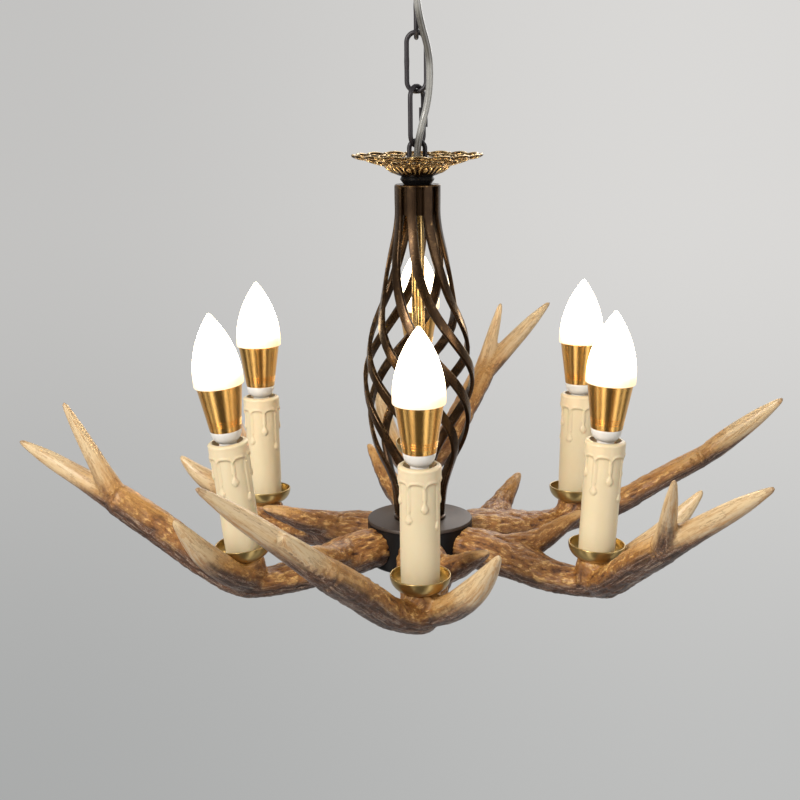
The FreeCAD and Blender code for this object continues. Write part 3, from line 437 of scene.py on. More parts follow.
@dataclass(frozen=True)
class Finish:
    """A finish with cloudy wear: two tones, and how it shines."""

    name: str
    dark: tuple[float, float, float]
    bright: tuple[float, float, float]
    metal: float = 0.0
    smooth: float = 0.3
    dull: float = 0.5
    bias: float = 0.5
    scale: float = 60.0
    bump: float = 0.02
    coat: float = 0.0
    specular: float = 0.5
    # Colour of rubbed edges, and also of the painted highlight on the cage bars and the saucer.
    rub: tuple[float, float, float] | None = None
    rub_and_sheen_amount: float = 1.0

    def make(self) -> bpy.types.Material:
        """The material, made at its first use."""
        if self.name in bpy.data.materials:
            return bpy.data.materials[self.name]
        material, graph, shader = blank(self.name)
        worn = graph.add("Group", node_tree=Effects.tarnish())
        for label, value in (
            ("Dark", (*self.dark, 1)), ("Bright", (*self.bright, 1)), ("Bias", self.bias),
            ("Scale", self.scale), ("Smooth Roughness", self.smooth), ("Dull Roughness", self.dull),
        ):
            worn.inputs[label].default_value = value
        colour = worn.outputs["Color"]
        if self.rub is not None:
            edge = graph.add("Group", node_tree=Effects.rubbed())
            graph.tree.links.new(colour, edge.inputs["Base"])
            edge.inputs["Bare"].default_value = (*self.rub, 1)
            edge.inputs["Amount"].default_value = self.rub_and_sheen_amount
            colour = edge.outputs["Color"]
        graph.tree.links.new(colour, shader.inputs["Base Color"])
        graph.tree.links.new(worn.outputs["Roughness"], shader.inputs["Roughness"])
        shader.inputs["Metallic"].default_value = self.metal
        shader.inputs["Coat Weight"].default_value = self.coat
        shader.inputs["Specular IOR Level"].default_value = self.specular
        bump = graph.add(
            "Bump", {"Strength": self.bump, "Distance": 0.001, "Height": worn.outputs["Height"]}
        )
        graph.tree.links.new(bump.outputs[0], shader.inputs["Normal"])
        return material


def blank(name: str) -> tuple[bpy.types.Material, Graph, bpy.types.Node]:
    """A new material with nothing but its shader: the material, its graph and the shader."""
    material = bpy.data.materials.new(name)
    material.use_nodes = True
    graph = Graph(material.node_tree)
    return material, graph, material.node_tree.nodes["Principled BSDF"]


class Metal(Enum):
    """The plain metal and plastic finishes."""

    BLACK = Finish("satin_black", (0.005, 0.0045, 0.005), (0.010, 0.009, 0.009), 0.0, 0.3, 0.42, specular=0.15)
    CHAIN = Finish(
        "chain_black", (0.003, 0.003, 0.0035), (0.008, 0.0075, 0.008), 0.0, 0.3, 0.42, scale=120.0, specular=0.1,
        rub=(0.10, 0.055, 0.03), rub_and_sheen_amount=0.6,
    )
    ZINC = Finish("zinc", (0.38, 0.39, 0.4), (0.6, 0.6, 0.6), 1.0, 0.25, 0.45, scale=150.0)
    BRONZE = Finish(
        "dark_bronze", (0.032, 0.017, 0.008), (0.075, 0.042, 0.019), 0.85, 0.22, 0.36, scale=40.0,
        rub=(0.42, 0.25, 0.10),
    )
    HUB = Finish(
        "hub_bronze", (0.008, 0.006, 0.005), (0.015, 0.011, 0.008), 0.1, 0.36, 0.48, scale=30.0,
        specular=0.3, rub=(0.62, 0.42, 0.18),
    )
    BRASS = Finish("satin_brass", (0.35, 0.22, 0.08), (0.62, 0.43, 0.18), 1.0, 0.2, 0.35)
    FILIGREE = Finish(
        "aged_filigree", (0.035, 0.017, 0.006), (0.11, 0.055, 0.018), 0.9, 0.16, 0.32, bias=0.5,
        scale=90.0, bump=0.02, rub=(0.90, 0.62, 0.26),
    )
    CUP = Finish(
        "cup_brass", (0.032, 0.014, 0.006), (0.105, 0.048, 0.017), 0.95, 0.2, 0.34, bias=0.46,
        scale=45.0, rub=(0.36, 0.18, 0.06), rub_and_sheen_amount=0.5,
    )
    CERAMIC = Finish("ceramic", (0.72, 0.71, 0.67), (0.8, 0.79, 0.76), 0.0, 0.3, 0.45)
    INSULATION = Finish("insulation", (0.45, 0.43, 0.38), (0.55, 0.53, 0.47), 0.0, 0.4, 0.5)
    COLLAR = Finish("lamp_collar", (0.76, 0.74, 0.7), (0.82, 0.8, 0.77), 0.0, 0.25, 0.32, bump=0.0)
    NYLON = Finish("nylon", (0.6, 0.6, 0.58), (0.7, 0.7, 0.68), 0.0, 0.2, 0.3)


class Bark:
    """The painted antler: rough brown bark at the root, ivory with long fine grain at the tips, and painted shade on
    its undersides.
    """

    UMBER = (0.040, 0.015, 0.005, 1)
    CHESTNUT = (0.185, 0.062, 0.014, 1)
    TAN = (0.41, 0.175, 0.038, 1)
    GOLD = (0.85, 0.52, 0.18, 1)
    HONEY = (0.60, 0.31, 0.08, 1)
    IVORY = (0.72, 0.54, 0.31, 1)
    CHALK_AND_SHADE = (0.46, 0.36, 0.27, 1)
    MAROON = (0.125, 0.048, 0.022, 1)

    @classmethod
    def make(cls) -> bpy.types.Material:
        """The material, which reads the age, ridge, under and flow attributes; under sets where shade is painted."""
        if "antler_bark" in bpy.data.materials:
            return bpy.data.materials["antler_bark"]
        material, graph, shader = blank("antler_bark")
        age = graph.attribute("age")
        ridge = graph.attribute("ridge")
        under = graph.attribute("under")
        flow = graph.attribute("flow", "Vector")
        spot = graph.add("TexCoord").outputs["Object"]
        cloud = graph.grain(spot, 34.0, 5.0, 0.6)
        fleck = graph.grain(spot, 520.0, 4.0, 0.7)
        pebble = graph.grain(graph.stretched(flow, (260.0, 620.0, 620.0)), 1.0, 5.0, 0.65)
        streak = graph.grain(graph.stretched(flow, (38.0, 560.0, 560.0)), 1.0, 5.0, 0.65)
        vein = graph.grain(graph.stretched(flow, (17.0, 170.0, 170.0)), 1.0, 5.0, 0.62)
        crack = graph.ramp(graph.math("ABSOLUTE", graph.math("SUBTRACT", vein, 0.5)), 0.02, 0.0)
        web = graph.ramp(graph.math("ABSOLUTE", graph.math("SUBTRACT", pebble, 0.5)), 0.035, 0.0)

        high = graph.math("ADD", graph.math("MULTIPLY", ridge, 0.42), graph.math("MULTIPLY", pebble, 0.72))
        rough = graph.blend(graph.ramp(high, 0.34, 0.66), cls.CHESTNUT, cls.TAN)
        rough = graph.blend(graph.math("MULTIPLY", graph.ramp(high, 0.46, 0.36), 0.7), rough, cls.UMBER)
        rough = graph.blend(graph.math("MULTIPLY", web, 0.55), rough, cls.UMBER)
        rough = graph.blend(graph.math("MULTIPLY", graph.ramp(high, 0.62, 0.76), 0.8), rough, cls.GOLD)

        # Painted shade: on the undersides the bark turns dark umber and maroon, with pale crackle lines.
        shaded_underside_with_cracks = graph.blend(graph.ramp(streak, 0.40, 0.62), cls.UMBER, cls.MAROON)
        shaded_underside_with_cracks = graph.blend(graph.math("MULTIPLY", graph.ramp(high, 0.55, 0.85), 0.5), shaded_underside_with_cracks, cls.CHESTNUT)
        pale = graph.math("MULTIPLY", graph.math("MAXIMUM", crack, web), graph.ramp(streak, 0.46, 0.60))
        shaded_underside_with_cracks = graph.blend(graph.math("MULTIPLY", pale, 0.85), shaded_underside_with_cracks, cls.CHALK_AND_SHADE)
        # Where the painted underside shade goes: faces that point down.
        underside_shade_mask = graph.ramp(graph.math("ADD", under, graph.math("MULTIPLY", cloud, 0.3)), 0.52, 0.78)
        bark = graph.blend(underside_shade_mask, rough, shaded_underside_with_cracks)

        noisy = graph.math("ADD", graph.math("MULTIPLY", graph.math("SUBTRACT", cloud, 0.5), 0.40),
                           graph.math("MULTIPLY", graph.math("SUBTRACT", vein, 0.5), 0.45))
        aged = graph.math("ADD", age, noisy)
        horn = graph.blend(graph.ramp(aged, 0.45, 0.80), cls.HONEY, cls.IVORY)
        horn = graph.blend(graph.math("MULTIPLY", graph.ramp(streak, 0.47, 0.66), 0.5), horn, cls.TAN)
        horn = graph.blend(graph.math("MULTIPLY", graph.ramp(streak, 0.47, 0.32), 0.2), horn, cls.IVORY)
        horn = graph.blend(graph.math("MULTIPLY", crack, 0.45), horn, cls.CHESTNUT)
        # Painted shade: the horn's undersides are turned greyer and darker.
        horn_underside_shade = graph.math("MULTIPLY", graph.ramp(under, 0.50, 0.85), 0.62)
        horn = graph.blend(horn_underside_shade, horn, graph.blend(graph.ramp(streak, 0.42, 0.6), cls.CHALK_AND_SHADE, cls.TAN))
        speck = graph.math("MULTIPLY", graph.ramp(fleck, 0.56, 0.64), graph.ramp(aged, 0.72, 0.42))
        horn = graph.blend(graph.math("MULTIPLY", speck, 0.7), horn, cls.CHESTNUT)

        # Painted shade: on the undersides the dark bark runs further towards the tips.
        reach = graph.math("SUBTRACT", aged, graph.math("MULTIPLY", graph.math("SUBTRACT", under, 0.35), 0.42))
        young = graph.ramp(reach, 0.38, 0.64)
        colour = graph.blend(young, bark, horn)
        tip = graph.math("MULTIPLY", graph.ramp(age, 0.955, 1.0), 0.55)
        colour = graph.blend(tip, colour, cls.CHESTNUT)
        graph.tree.links.new(colour, shader.inputs["Base Color"])

        gloss = graph.add("MapRange", {"Value": high, "From Min": 0.3, "From Max": 0.9, "To Min": 0.6, "To Max": 0.3})
        graph.tree.links.new(gloss.outputs[0], shader.inputs["Roughness"])
        shader.inputs["Coat Weight"].default_value = 0.22
        shader.inputs["Coat Roughness"].default_value = 0.3
        coarse = graph.math("MULTIPLY", pebble, graph.math("SUBTRACT", 1.15, young))
        height = graph.math("ADD", graph.math("MULTIPLY", streak, 0.35), coarse)
        height = graph.math("SUBTRACT", height, graph.math("MULTIPLY", crack, 0.12))
        height = graph.math("MULTIPLY", height, graph.ramp(age, 0.88, 0.66))
        bump = graph.add("Bump", {"Strength": 0.75, "Distance": 0.0014, "Height": height})
        graph.tree.links.new(bump.outputs[0], shader.inputs["Normal"])
        return material


class Wax:
    """The candle sleeve's ivory, with painted shade in the creases at the wax's edges and inside its mouth."""

    @staticmethod
    def make() -> bpy.types.Material:
        """The material, which reads the painted crease shade stored on the mesh."""
        if "candle_wax" in bpy.data.materials:
            return bpy.data.materials["candle_wax"]
        material, graph, shader = blank("candle_wax")
        spot = graph.add("TexCoord").outputs["Object"]
        cloud = graph.grain(spot, 45.0, 4.0)
        base = graph.blend(cloud, (0.79, 0.64, 0.41, 1), (0.84, 0.71, 0.48, 1))
        # Painted shade: the creases at the wax's edges are darkened towards brown.
        fold = graph.math("MULTIPLY", graph.attribute("fold"), 0.75, clamp=True)
        colour = graph.blend(fold, base, (0.36, 0.25, 0.12, 1))
        graph.tree.links.new(colour, shader.inputs["Base Color"])
        shader.inputs["Roughness"].default_value = 0.42
        shader.inputs["Subsurface Weight"].default_value = 0.12
        shader.inputs["Subsurface Scale"].default_value = 0.004
        shader.inputs["Coat Weight"].default_value = 0.1
        bump = graph.add("Bump", {"Strength": 0.08, "Distance": 0.001, "Height": graph.grain(spot, 300.0)})
        graph.tree.links.new(bump.outputs[0], shader.inputs["Normal"])
        return material


class HeatSink:
    """Turned gold: fine lines round the axis that draw its reflections out."""

    @staticmethod
    def make() -> bpy.types.Material:
        """The material, which reads the turned attribute: the height along the lamp's axis."""
        if "turned_gold" in bpy.data.materials:
            return bpy.data.materials["turned_gold"]
        material, graph, shader = blank("turned_gold")
        rise = graph.attribute("turned")
        line = graph.add("CombineXYZ", {"X": graph.math("MULTIPLY", rise, 9000.0)}).outputs[0]
        lines = graph.grain(line, 1.0, 3.0, 0.7)
        spot = graph.add("TexCoord").outputs["Object"]
        cloud = graph.grain(spot, 70.0, 3.0)
        tone = graph.blend(graph.ramp(lines, 0.3, 0.7), (0.72, 0.37, 0.09, 1), (0.95, 0.58, 0.19, 1))
        tone = graph.blend(graph.math("MULTIPLY", cloud, 0.2), tone, (0.98, 0.68, 0.28, 1))
        graph.tree.links.new(tone, shader.inputs["Base Color"])
        shader.inputs["Metallic"].default_value = 1.0
        shader.inputs["Roughness"].default_value = 0.26
        shader.inputs["Anisotropic"].default_value = 0.85
        shader.inputs["Anisotropic Rotation"].default_value = 0.25
        bump = graph.add("Bump", {"Strength": 0.12, "Distance": 0.0004, "Height": lines})
        graph.tree.links.new(bump.outputs[0], shader.inputs["Normal"])
        return material


class Opal:
    """The lit dome: white, warmer towards its rim."""

    @staticmethod
    def make() -> bpy.types.Material:
        """The material, which reads the turned attribute: the height along the lamp's axis."""
        if "opal_dome" in bpy.data.materials:
            return bpy.data.materials["opal_dome"]
        material, graph, shader = blank("opal_dome")
        rise = graph.attribute("turned")
        lift = graph.ramp(rise, 0.1290, 0.1500)
        glow = graph.blend(lift, (1.0, 0.66, 0.27, 1), (1.0, 0.80, 0.52, 1))
        graph.tree.links.new(glow, shader.inputs["Emission Color"])
        power = graph.math("ADD", 0.8, graph.math("MULTIPLY", graph.math("POWER", lift, 2.2), 17.0))
        graph.tree.links.new(power, shader.inputs["Emission Strength"])
        shader.inputs["Base Color"].default_value = (0.9, 0.87, 0.8, 1)
        shader.inputs["Roughness"].default_value = 0.18
        return material


class ClearCord:
    """Clear sheath over two copper cores that run side by side."""

    @staticmethod
    def make() -> bpy.types.Material:
        """The material, which reads the cord's own UV map: its second part goes round."""
        if "clear_cord" in bpy.data.materials:
            return bpy.data.materials["clear_cord"]
        material, graph, shader = blank("clear_cord")
        unwrapped = graph.add("UVMap").outputs[0]
        parts = graph.add("SeparateXYZ", {0: unwrapped})
        swing = graph.math("COSINE", graph.math("MULTIPLY", parts.outputs["X"], 4 * math.pi))
        core = graph.ramp(swing, -0.2, 0.7)
        twist = graph.grain(graph.stretched(unwrapped, (40.0, 260.0, 1.0)), 1.0, 3.0)
        metal = graph.blend(twist, (0.035, 0.035, 0.033, 1), (0.16, 0.15, 0.13, 1))
        colour = graph.blend(core, (0.30, 0.30, 0.285, 1), metal)
        graph.tree.links.new(colour, shader.inputs["Base Color"])
        shader.inputs["Roughness"].default_value = 0.2
        shader.inputs["Coat Weight"].default_value = 0.8
        shader.inputs["Coat Roughness"].default_value = 0.08
        bump = graph.add("Bump", {"Strength": 0.3, "Distance": 0.0005, "Height": core})
        graph.tree.links.new(bump.outputs[0], shader.inputs["Normal"])
        return material


# ------------------------------------------------------------------ studio


@dataclass
class Studio:
    """The camera, the lamps, and a pale bowl of a backdrop round the hanging fitting."""

    hub_top: float
    eye: tuple[float, float, float] = (0.0, -1.056, 0.324)
    pitch: float = 12.4
    yaw: float = 0.78
    roll: float = 0.6
    lens: float = 64.35
    bowl_radius: float = 3.6
    floor_level: float = -2.1
    wall_height: float = 5.2

    def build(self) -> None:
        """Makes everything that isn't part of the fitting."""
        self._camera()
        self._backdrop()
        self._lamps()
        self._world()
        bpy.context.scene.view_settings.view_transform = "Standard"

    def _camera(self) -> None:
        """Places the camera at the photograph's point of view."""
        pitch, yaw, roll = (math.radians(v) for v in (self.pitch, self.yaw, self.roll))
        ahead = Vector((
            -math.sin(yaw) * math.cos(pitch), math.cos(yaw) * math.cos(pitch), -math.sin(pitch)
        ))
        right = ahead.cross(UP).normalized()
        upward = right.cross(ahead)
        screen_x = right * math.cos(roll) - upward * math.sin(roll)
        screen_y = right * math.sin(roll) + upward * math.cos(roll)
        data = bpy.data.cameras.new("camera")
        data.lens, data.sensor_width = self.lens, 36.0
        data.clip_start, data.clip_end = 0.02, 40.0
        camera = bpy.data.objects.new("camera", data)
        bpy.context.scene.collection.objects.link(camera)
        turn = Matrix((screen_x, screen_y, -ahead)).transposed()
        place = Vector(self.eye) + Vector((0, 0, self.hub_top))
        camera.matrix_world = Matrix.Translation(place) @ turn.to_4x4()
        bpy.context.scene.camera = camera

    def _backdrop(self) -> None:
        """A floor that curves up into a round wall."""
        low, radius = self.floor_level, self.bowl_radius
        profile = [(0.0, low), (radius - 1.6, low)]
        profile += Forge.arc((radius - 1.6, low), (radius, low + 1.6), 0.4686, 10)
        profile.append((radius, low + self.wall_height))
        bm = Forge.lathe(profile, 64, closed=False)
        bmesh.ops.reverse_faces(bm, faces=bm.faces)
        mesh = bpy.data.meshes.new("backdrop")
        bm.to_mesh(mesh)
        bm.free()
        mesh.polygons.foreach_set("use_smooth", [True] * len(mesh.polygons))
        bowl = bpy.data.objects.new("backdrop", mesh)
        bpy.context.scene.collection.objects.link(bowl)
        mesh.materials.append(self._backdrop_finish())

    def _backdrop_finish(self) -> bpy.types.Material:
        """Pale grey with painted shade, darker below and towards the left, shown as it is to the camera; in
        reflections it is dark in front, with painted bright strips on both sides that stand in for strip lamps.
        """
        material, graph, shader = blank("backdrop")
        material.node_tree.nodes.remove(shader)
        out = material.node_tree.nodes["Material Output"]
        spot = graph.add("TexCoord").outputs["Object"]
        parts = graph.add("SeparateXYZ", {0: spot}).outputs
        # Painted shade: darker towards the floor and towards the left.
        tone = graph.ramp(parts["Z"], -2.3, -0.5)
        side = graph.ramp(parts["X"], -1.4, 1.0)
        below = graph.blend(side, (0.385, 0.392, 0.39, 1), (0.50, 0.505, 0.50, 1))
        above = graph.blend(side, (0.545, 0.54, 0.53, 1), (0.70, 0.69, 0.675, 1))
        pale = graph.blend(tone, below, above)
        rays = graph.add("LightPath").outputs
        turn = graph.math("ABSOLUTE", graph.math("ARCTAN2", parts["X"], graph.math("MULTIPLY", parts["Y"], -1.0)))
        # Seen only in reflections: painted shade in front, and painted bright strips on both sides.
        shade = graph.blend(graph.ramp(turn, 1.6, 2.3), (0.085, 0.08, 0.075, 1), pale)
        near = graph.math("MULTIPLY", graph.ramp(turn, 0.50, 0.56), graph.ramp(turn, 0.84, 0.78))
        far = graph.math("MULTIPLY", graph.ramp(turn, 1.20, 1.25), graph.ramp(turn, 1.45, 1.40))
        strips = graph.math("MAXIMUM", near, graph.math("MULTIPLY", far, 0.6))
        shade = graph.blend(strips, shade, (1.9, 1.85, 1.75, 1))
        pale = graph.blend(rays["Is Glossy Ray"], pale, shade)
        shown = graph.math("MAXIMUM", rays["Is Camera Ray"], rays["Is Glossy Ray"])
        shown = graph.math("MAXIMUM", shown, rays["Is Transmission Ray"])
        lit = graph.add("Emission", {"Color": pale, "Strength": 1.0})
        matt = graph.add("BsdfDiffuse", {"Color": (0.7, 0.7, 0.69, 1)})
        mixed = graph.add("MixShader", {0: shown, 1: matt.outputs[0], 2: lit.outputs[0]})
        graph.tree.links.new(mixed.outputs[0], out.inputs["Surface"])
        return material

    def _lamps(self) -> None:
        """Three large soft lamps."""
        aim = Vector((0, 0, self.hub_top + 0.08))
        for name, place, size, watts, tint in (
            ("key", (-1.4, -1.8, 1.2), 0.9, 60.0, (1.0, 0.97, 0.93)),
            ("fill", (1.9, -1.1, 0.4), 1.4, 10.0, (0.98, 0.98, 1.0)),
            ("back", (0.7, 1.9, 1.0), 1.4, 16.0, (1.0, 0.97, 0.94)),
        ):
            data = bpy.data.lights.new(name, "AREA")
            data.size, data.energy, data.color = size, watts, tint
            lamp = bpy.data.objects.new(name, data)
            bpy.context.scene.collection.objects.link(lamp)
            lamp.location = aim + Vector(place)
            lamp.rotation_mode = "QUATERNION"
            lamp.rotation_quaternion = (-Vector(place)).to_track_quat("-Z", "Y")

    def _world(self) -> None:
        """Plain pale light from all round."""
        world = bpy.data.worlds.new("world")
        bpy.context.scene.world = world
        world.use_nodes = True
        back = world.node_tree.nodes["Background"]
        back.inputs["Color"].default_value = (0.78, 0.79, 0.8, 1)
        back.inputs["Strength"].default_value = 0.42


# ------------------------------------------------------------------ antlers

Station = tuple[float, float, float, float, float]


def between(start: Sequence[float], end: Sequence[float], share: float) -> tuple[float, ...]:
    """The point, or other values, a share of the way from start to end."""
    return tuple(a + (b - a) * share for a, b in zip(start, end))


def smoothed(points: Sequence[Sequence[float]], steps: int) -> list[tuple[float, ...]]:
    """Values on a smooth curve through the given ones."""
    ends = [between(points[1], points[0], 2), *points, between(points[-2], points[-1], 2)]
    finer = []
    for a, b, c, d in zip(ends, ends[1:], ends[2:], ends[3:]):
        for step in range(steps):
            t = step / steps
            finer.append(tuple(
                0.5 * (2 * q + (r - p) * t + (2 * p - 5 * q + 4 * r - s) * t * t
                       + (3 * q - p - 3 * r + s) * t ** 3)
                for p, q, r, s in zip(a, b, c, d)
            ))
    finer.append(tuple(points[-1]))
    return finer


@dataclass
class Arm:
    """One arm: where it points, how its cup stands, and the points of its antler, in mm.

    Points are outwards, sideways and up from the top of the hub, in the arm's own frame.
    """

    name: str
    turn: float
    cup: float
    lean: float
    lift: float
    fork: Station
    outer: tuple[float, float, float]
    inner: tuple[float, float, float]
    side: tuple[float, float, float]
    brow: tuple[float, float, float]
    seat_radius: float = 146.0

    def frame(self, hub_top: float) -> Matrix:
        """The arm's own frame, with its scale still in metres."""
        return Matrix.Translation((0, 0, hub_top)) @ Matrix.Rotation(math.radians(self.turn), 4, "Z")

    def seat(self, hub_top: float) -> Matrix:
        """Where the cup stands: its Z is the candle's axis."""
        lift = Matrix.Translation((self.seat_radius * MM, 0, (self.cup - 9) * MM))
        return self.frame(hub_top) @ lift @ Matrix.Rotation(math.radians(self.lean), 4, "Y")


ARMS = (
    Arm("front", 270, 3.0, 3.0, 0.0, (222, -57, 31, 11, 11.5), (271, -127.5, 100.5),
        (249, -80, 65), (212, 49, 38.5), (116, 47, 9)),
    Arm("front_right", 330, 0.0, 3.7, -2.0, (218, -58, 26, 12, 11.5), (297, -88, 85),
        (238, -98, 84), (210, 40, 39), (118, 42, 10)),
    Arm("back_right", 30, 1.0, 2.0, 4.0, (224, -66, 32, 12, 8.5), (262, -112, 83),
        (272, -58, 40), (206, 36, 36), (119, 40, 8)),
    Arm("back", 90, 22.0, -6.0, 22.0, (226, -58, 66, 12, 9.5), (268, -122, 125),
        (250, -76, 127), (210, 38, 67), (117, 43, 28)),
    Arm("back_left", 150, 1.0, 1.0, 2.0, (222, -57, 31, 11, 11), (272, -118, 80),
        (262, -62, 86), (209, 30, 28.5), (118, 42, 1)),
    Arm("front_left", 210, 2.0, 6.7, 0.0, (220, -58, 33, 10, 13), (270, -127, 68),
        (249, -79.5, 103.5), (210, 31, 38), (112, 36, 2)),
)


class Branch(Enum):
    """An antler's branches, each with its share of the way from root to tip at its start."""

    BEAM = (0.0, 0.52)
    OUTER = (0.5, 1.0)
    INNER = (0.5, 0.99)
    SIDE = (0.34, 0.95)
    BROW = (0.08, 0.62)


@dataclass
class Track:
    """A branch's middle line: its places, directions, sizes, lengths and ages."""

    stations: list[Matrix] = field(default_factory=list)
    lengths: list[float] = field(default_factory=list)
    ages: list[float] = field(default_factory=list)


@dataclass
class Antler:
    """A moulded antler: beam, two-tine fork, side tine, brow tine, and the stub of its cup."""

    arm: Arm
    hub_top: float
    voxel: float = 1.15 * MM
    sides: int = 20
    steps: int = 7
    stub_radius: float = 13.0
    ridge_height: float = 2.2 * MM

    def _points(self) -> dict[Branch, list[tuple[float, ...]]]:
        """The given stations of each branch, in mm: place, half width and half height."""
        arm = self.arm
        lift, fork = arm.lift, arm.fork
        wide, high = fork[3:]
        seat = (arm.seat_radius, 0, lift - 27.0)
        near = between(seat, fork[:3], 0.62)
        past = between(seat, fork[:3], 0.28)
        tip = arm.side
        rise = 4 + 0.7 * lift
        bend = (88, 22, 0.5 * lift - 12)
        return {
            Branch.BEAM: [
                (35, 0, -18, 16.5, 14.5),
                (58, 2, -19 + 0.1 * lift, 19.6, 14.6),
                (84, 3, -23.5 + 0.4 * lift, 19, 13),
                (114, 1, -28.5 + 0.75 * lift, 14.2, 11),
                seat + (12.2, 10.2),
                (past[0], past[1] - 4, past[2] - 4, (12 + wide) / 2, (10.5 + high) / 2),
                (near[0], near[1] - 3, near[2] - 1, wide, high),
                fork[:3] + (wide * 0.95, high * 0.95),
            ],
            Branch.OUTER: [
                fork[:3] + (wide * 0.9, high * 0.9),
                between(fork[:3], arm.outer, 0.33) + (7.8, 8.4),
                between(fork[:3], arm.outer, 0.7) + (5.9, 6.4),
                arm.outer + (2.4, 2.4),
            ],
            Branch.INNER: [
                fork[:3] + (wide * 0.8, high * 0.8),
                between(fork[:3], arm.inner, 0.3) + (6.6, 7.6),
                between(fork[:3], arm.inner, 0.7) + (4.7, 5.2),
                arm.inner + (2.4, 2.4),
            ],
            Branch.SIDE: [
                (140, 0, lift - 26, 11, 9.5),
                (160, 0.4 * tip[1], 0.9 * lift - 14.5, 10, 9.8),
                (182, 0.68 * tip[1], rise, 8.5, 9.6),
                (197, 0.87 * tip[1], (rise + tip[2]) / 2, 6.3, 6.8),
                tip + (2.5, 2.5),
            ],
            Branch.BROW: [
                (66, 5, 0.3 * lift - 17, 12, 11),
                bend + (9.5, 9.5),
                between(bend, arm.brow, 0.62) + (5.8, 6.3),
                arm.brow + (2.8, 2.8),
            ],
        }

    def _track(self, branch: Branch, points: list[tuple[float, ...]]) -> Track:
        """The close stations of one branch, in metres, with a rounded tip."""
        fine = smoothed(points, self.steps)
        middles = [Vector(p[:3]) * MM for p in fine]
        track = Track()
        covered = 0.0
        total = sum((b - a).length for a, b in zip(middles, middles[1:]))
        first_age, last_age = branch.value
        for index, middle in enumerate(middles):
            before = middles[max(index - 1, 0)]
            after = middles[min(index + 1, len(middles) - 1)]
            along = (after - before).normalized()
            covered += (middle - before).length
            width, height = (value * MM for value in fine[index][3:])
            track.stations.append(Forge.station(middle, along, UP, width, height))
            track.lengths.append(covered)
            track.ages.append(first_age + (last_age - first_age) * covered / total)
        if branch is not Branch.BEAM:
            last = track.stations[-1]
            along = Vector(last.col[2][:3])
            reach = Vector(last.col[0][:3]).length
            for push, share in ((-0.35, 0.94), (0.0, 0.8), (0.3, 0.55), (0.5, 0.2)):
                moved = Matrix.Translation(along * reach * push) @ last
                shrunk = moved @ Matrix.Diagonal((share, share, 1, 1))
                if share == 0.94:
                    track.stations[-1] = shrunk
                    continue
                track.stations.append(shrunk)
                track.lengths.append(covered)
                track.ages.append(last_age)
        return track

    def _rough_shape(self, tracks: dict[Branch, Track]) -> bpy.types.Mesh:
        """Branches and stub, run together into one skin."""
        bm = bmesh.new()
        for track in tracks.values():
            Forge.sweep(bm, track.stations, self.sides)
        axis = Matrix.Rotation(math.radians(self.arm.lean), 4, "Y")
        seat = Vector((self.arm.seat_radius, 0, self.arm.cup - 9)) * MM
        depth = (self.arm.cup - 9 - self.arm.lift + 27) * MM
        place = Matrix.Translation(seat) @ axis @ Matrix.Translation((0, 0, -depth / 2 - 0.2 * MM))
        bmesh.ops.create_cone(
            bm, cap_ends=True, segments=40, radius1=(self.stub_radius + 1.6) * MM,
            radius2=self.stub_radius * MM, depth=depth, matrix=place,
        )
        bmesh.ops.recalc_face_normals(bm, faces=bm.faces)
        mesh = bpy.data.meshes.new("rough")
        bm.to_mesh(mesh)
        bm.free()
        lump = bpy.data.objects.new("rough", mesh)
        bpy.context.scene.collection.objects.link(lump)
        skin = lump.modifiers.new("skin", "REMESH")
        skin.mode, skin.voxel_size = "VOXEL", self.voxel
        bpy.context.view_layer.update()
        graph = bpy.context.evaluated_depsgraph_get()
        result = bpy.data.meshes.new_from_object(lump.evaluated_get(graph))
        bpy.data.objects.remove(lump)
        return result

    def build(self) -> bpy.types.Object:
        """Makes the antler: skin, smoothing, bark, and the attributes that its finish reads."""
        tracks = {
            branch: self._track(branch, points) for branch, points in self._points().items()
        }
        rough = self._rough_shape(tracks)
        bm = bmesh.new()
        bm.from_mesh(rough)
        bpy.data.meshes.remove(rough)
        for _ in range(12):
            bmesh.ops.smooth_vert(
                bm, verts=bm.verts, factor=0.5, use_axis_x=True, use_axis_y=True, use_axis_z=True
            )
        bm.normal_update()

        samples = [
            (branch, index, track.stations[index])
            for branch, track in tracks.items() for index in range(len(track.stations))
        ]
        tree = KDTree(len(samples))
        for number, (_, _, place) in enumerate(samples):
            tree.insert(place.translation, number)
        tree.balance()

        ages, flows, ridges, unders, normals = [], [], [], [], []
        drift = Vector((self.arm.turn * 0.37, self.arm.turn * 0.11, 3.0))
        for vert in bm.verts:
            best, age, flow = 1e9, 0.0, Vector()
            for _, number, _ in tree.find_n(vert.co, 6):
                branch, index, place = samples[number]
                local = place.inverted() @ vert.co
                size = math.hypot(local.x, local.y) + abs(local.z) * 60.0
                if size < best:
                    best = size
                    track = tracks[branch]
                    age = track.ages[index]
                    width = place.col[0].to_3d().length
                    angle = math.atan2(local.y, local.x)
                    flow = Vector((
                        track.lengths[index] + local.z + 0.31 * len(branch.name),
                        width * math.cos(angle), width * math.sin(angle),
                    ))
            ages.append(age)
            flows.append(flow)
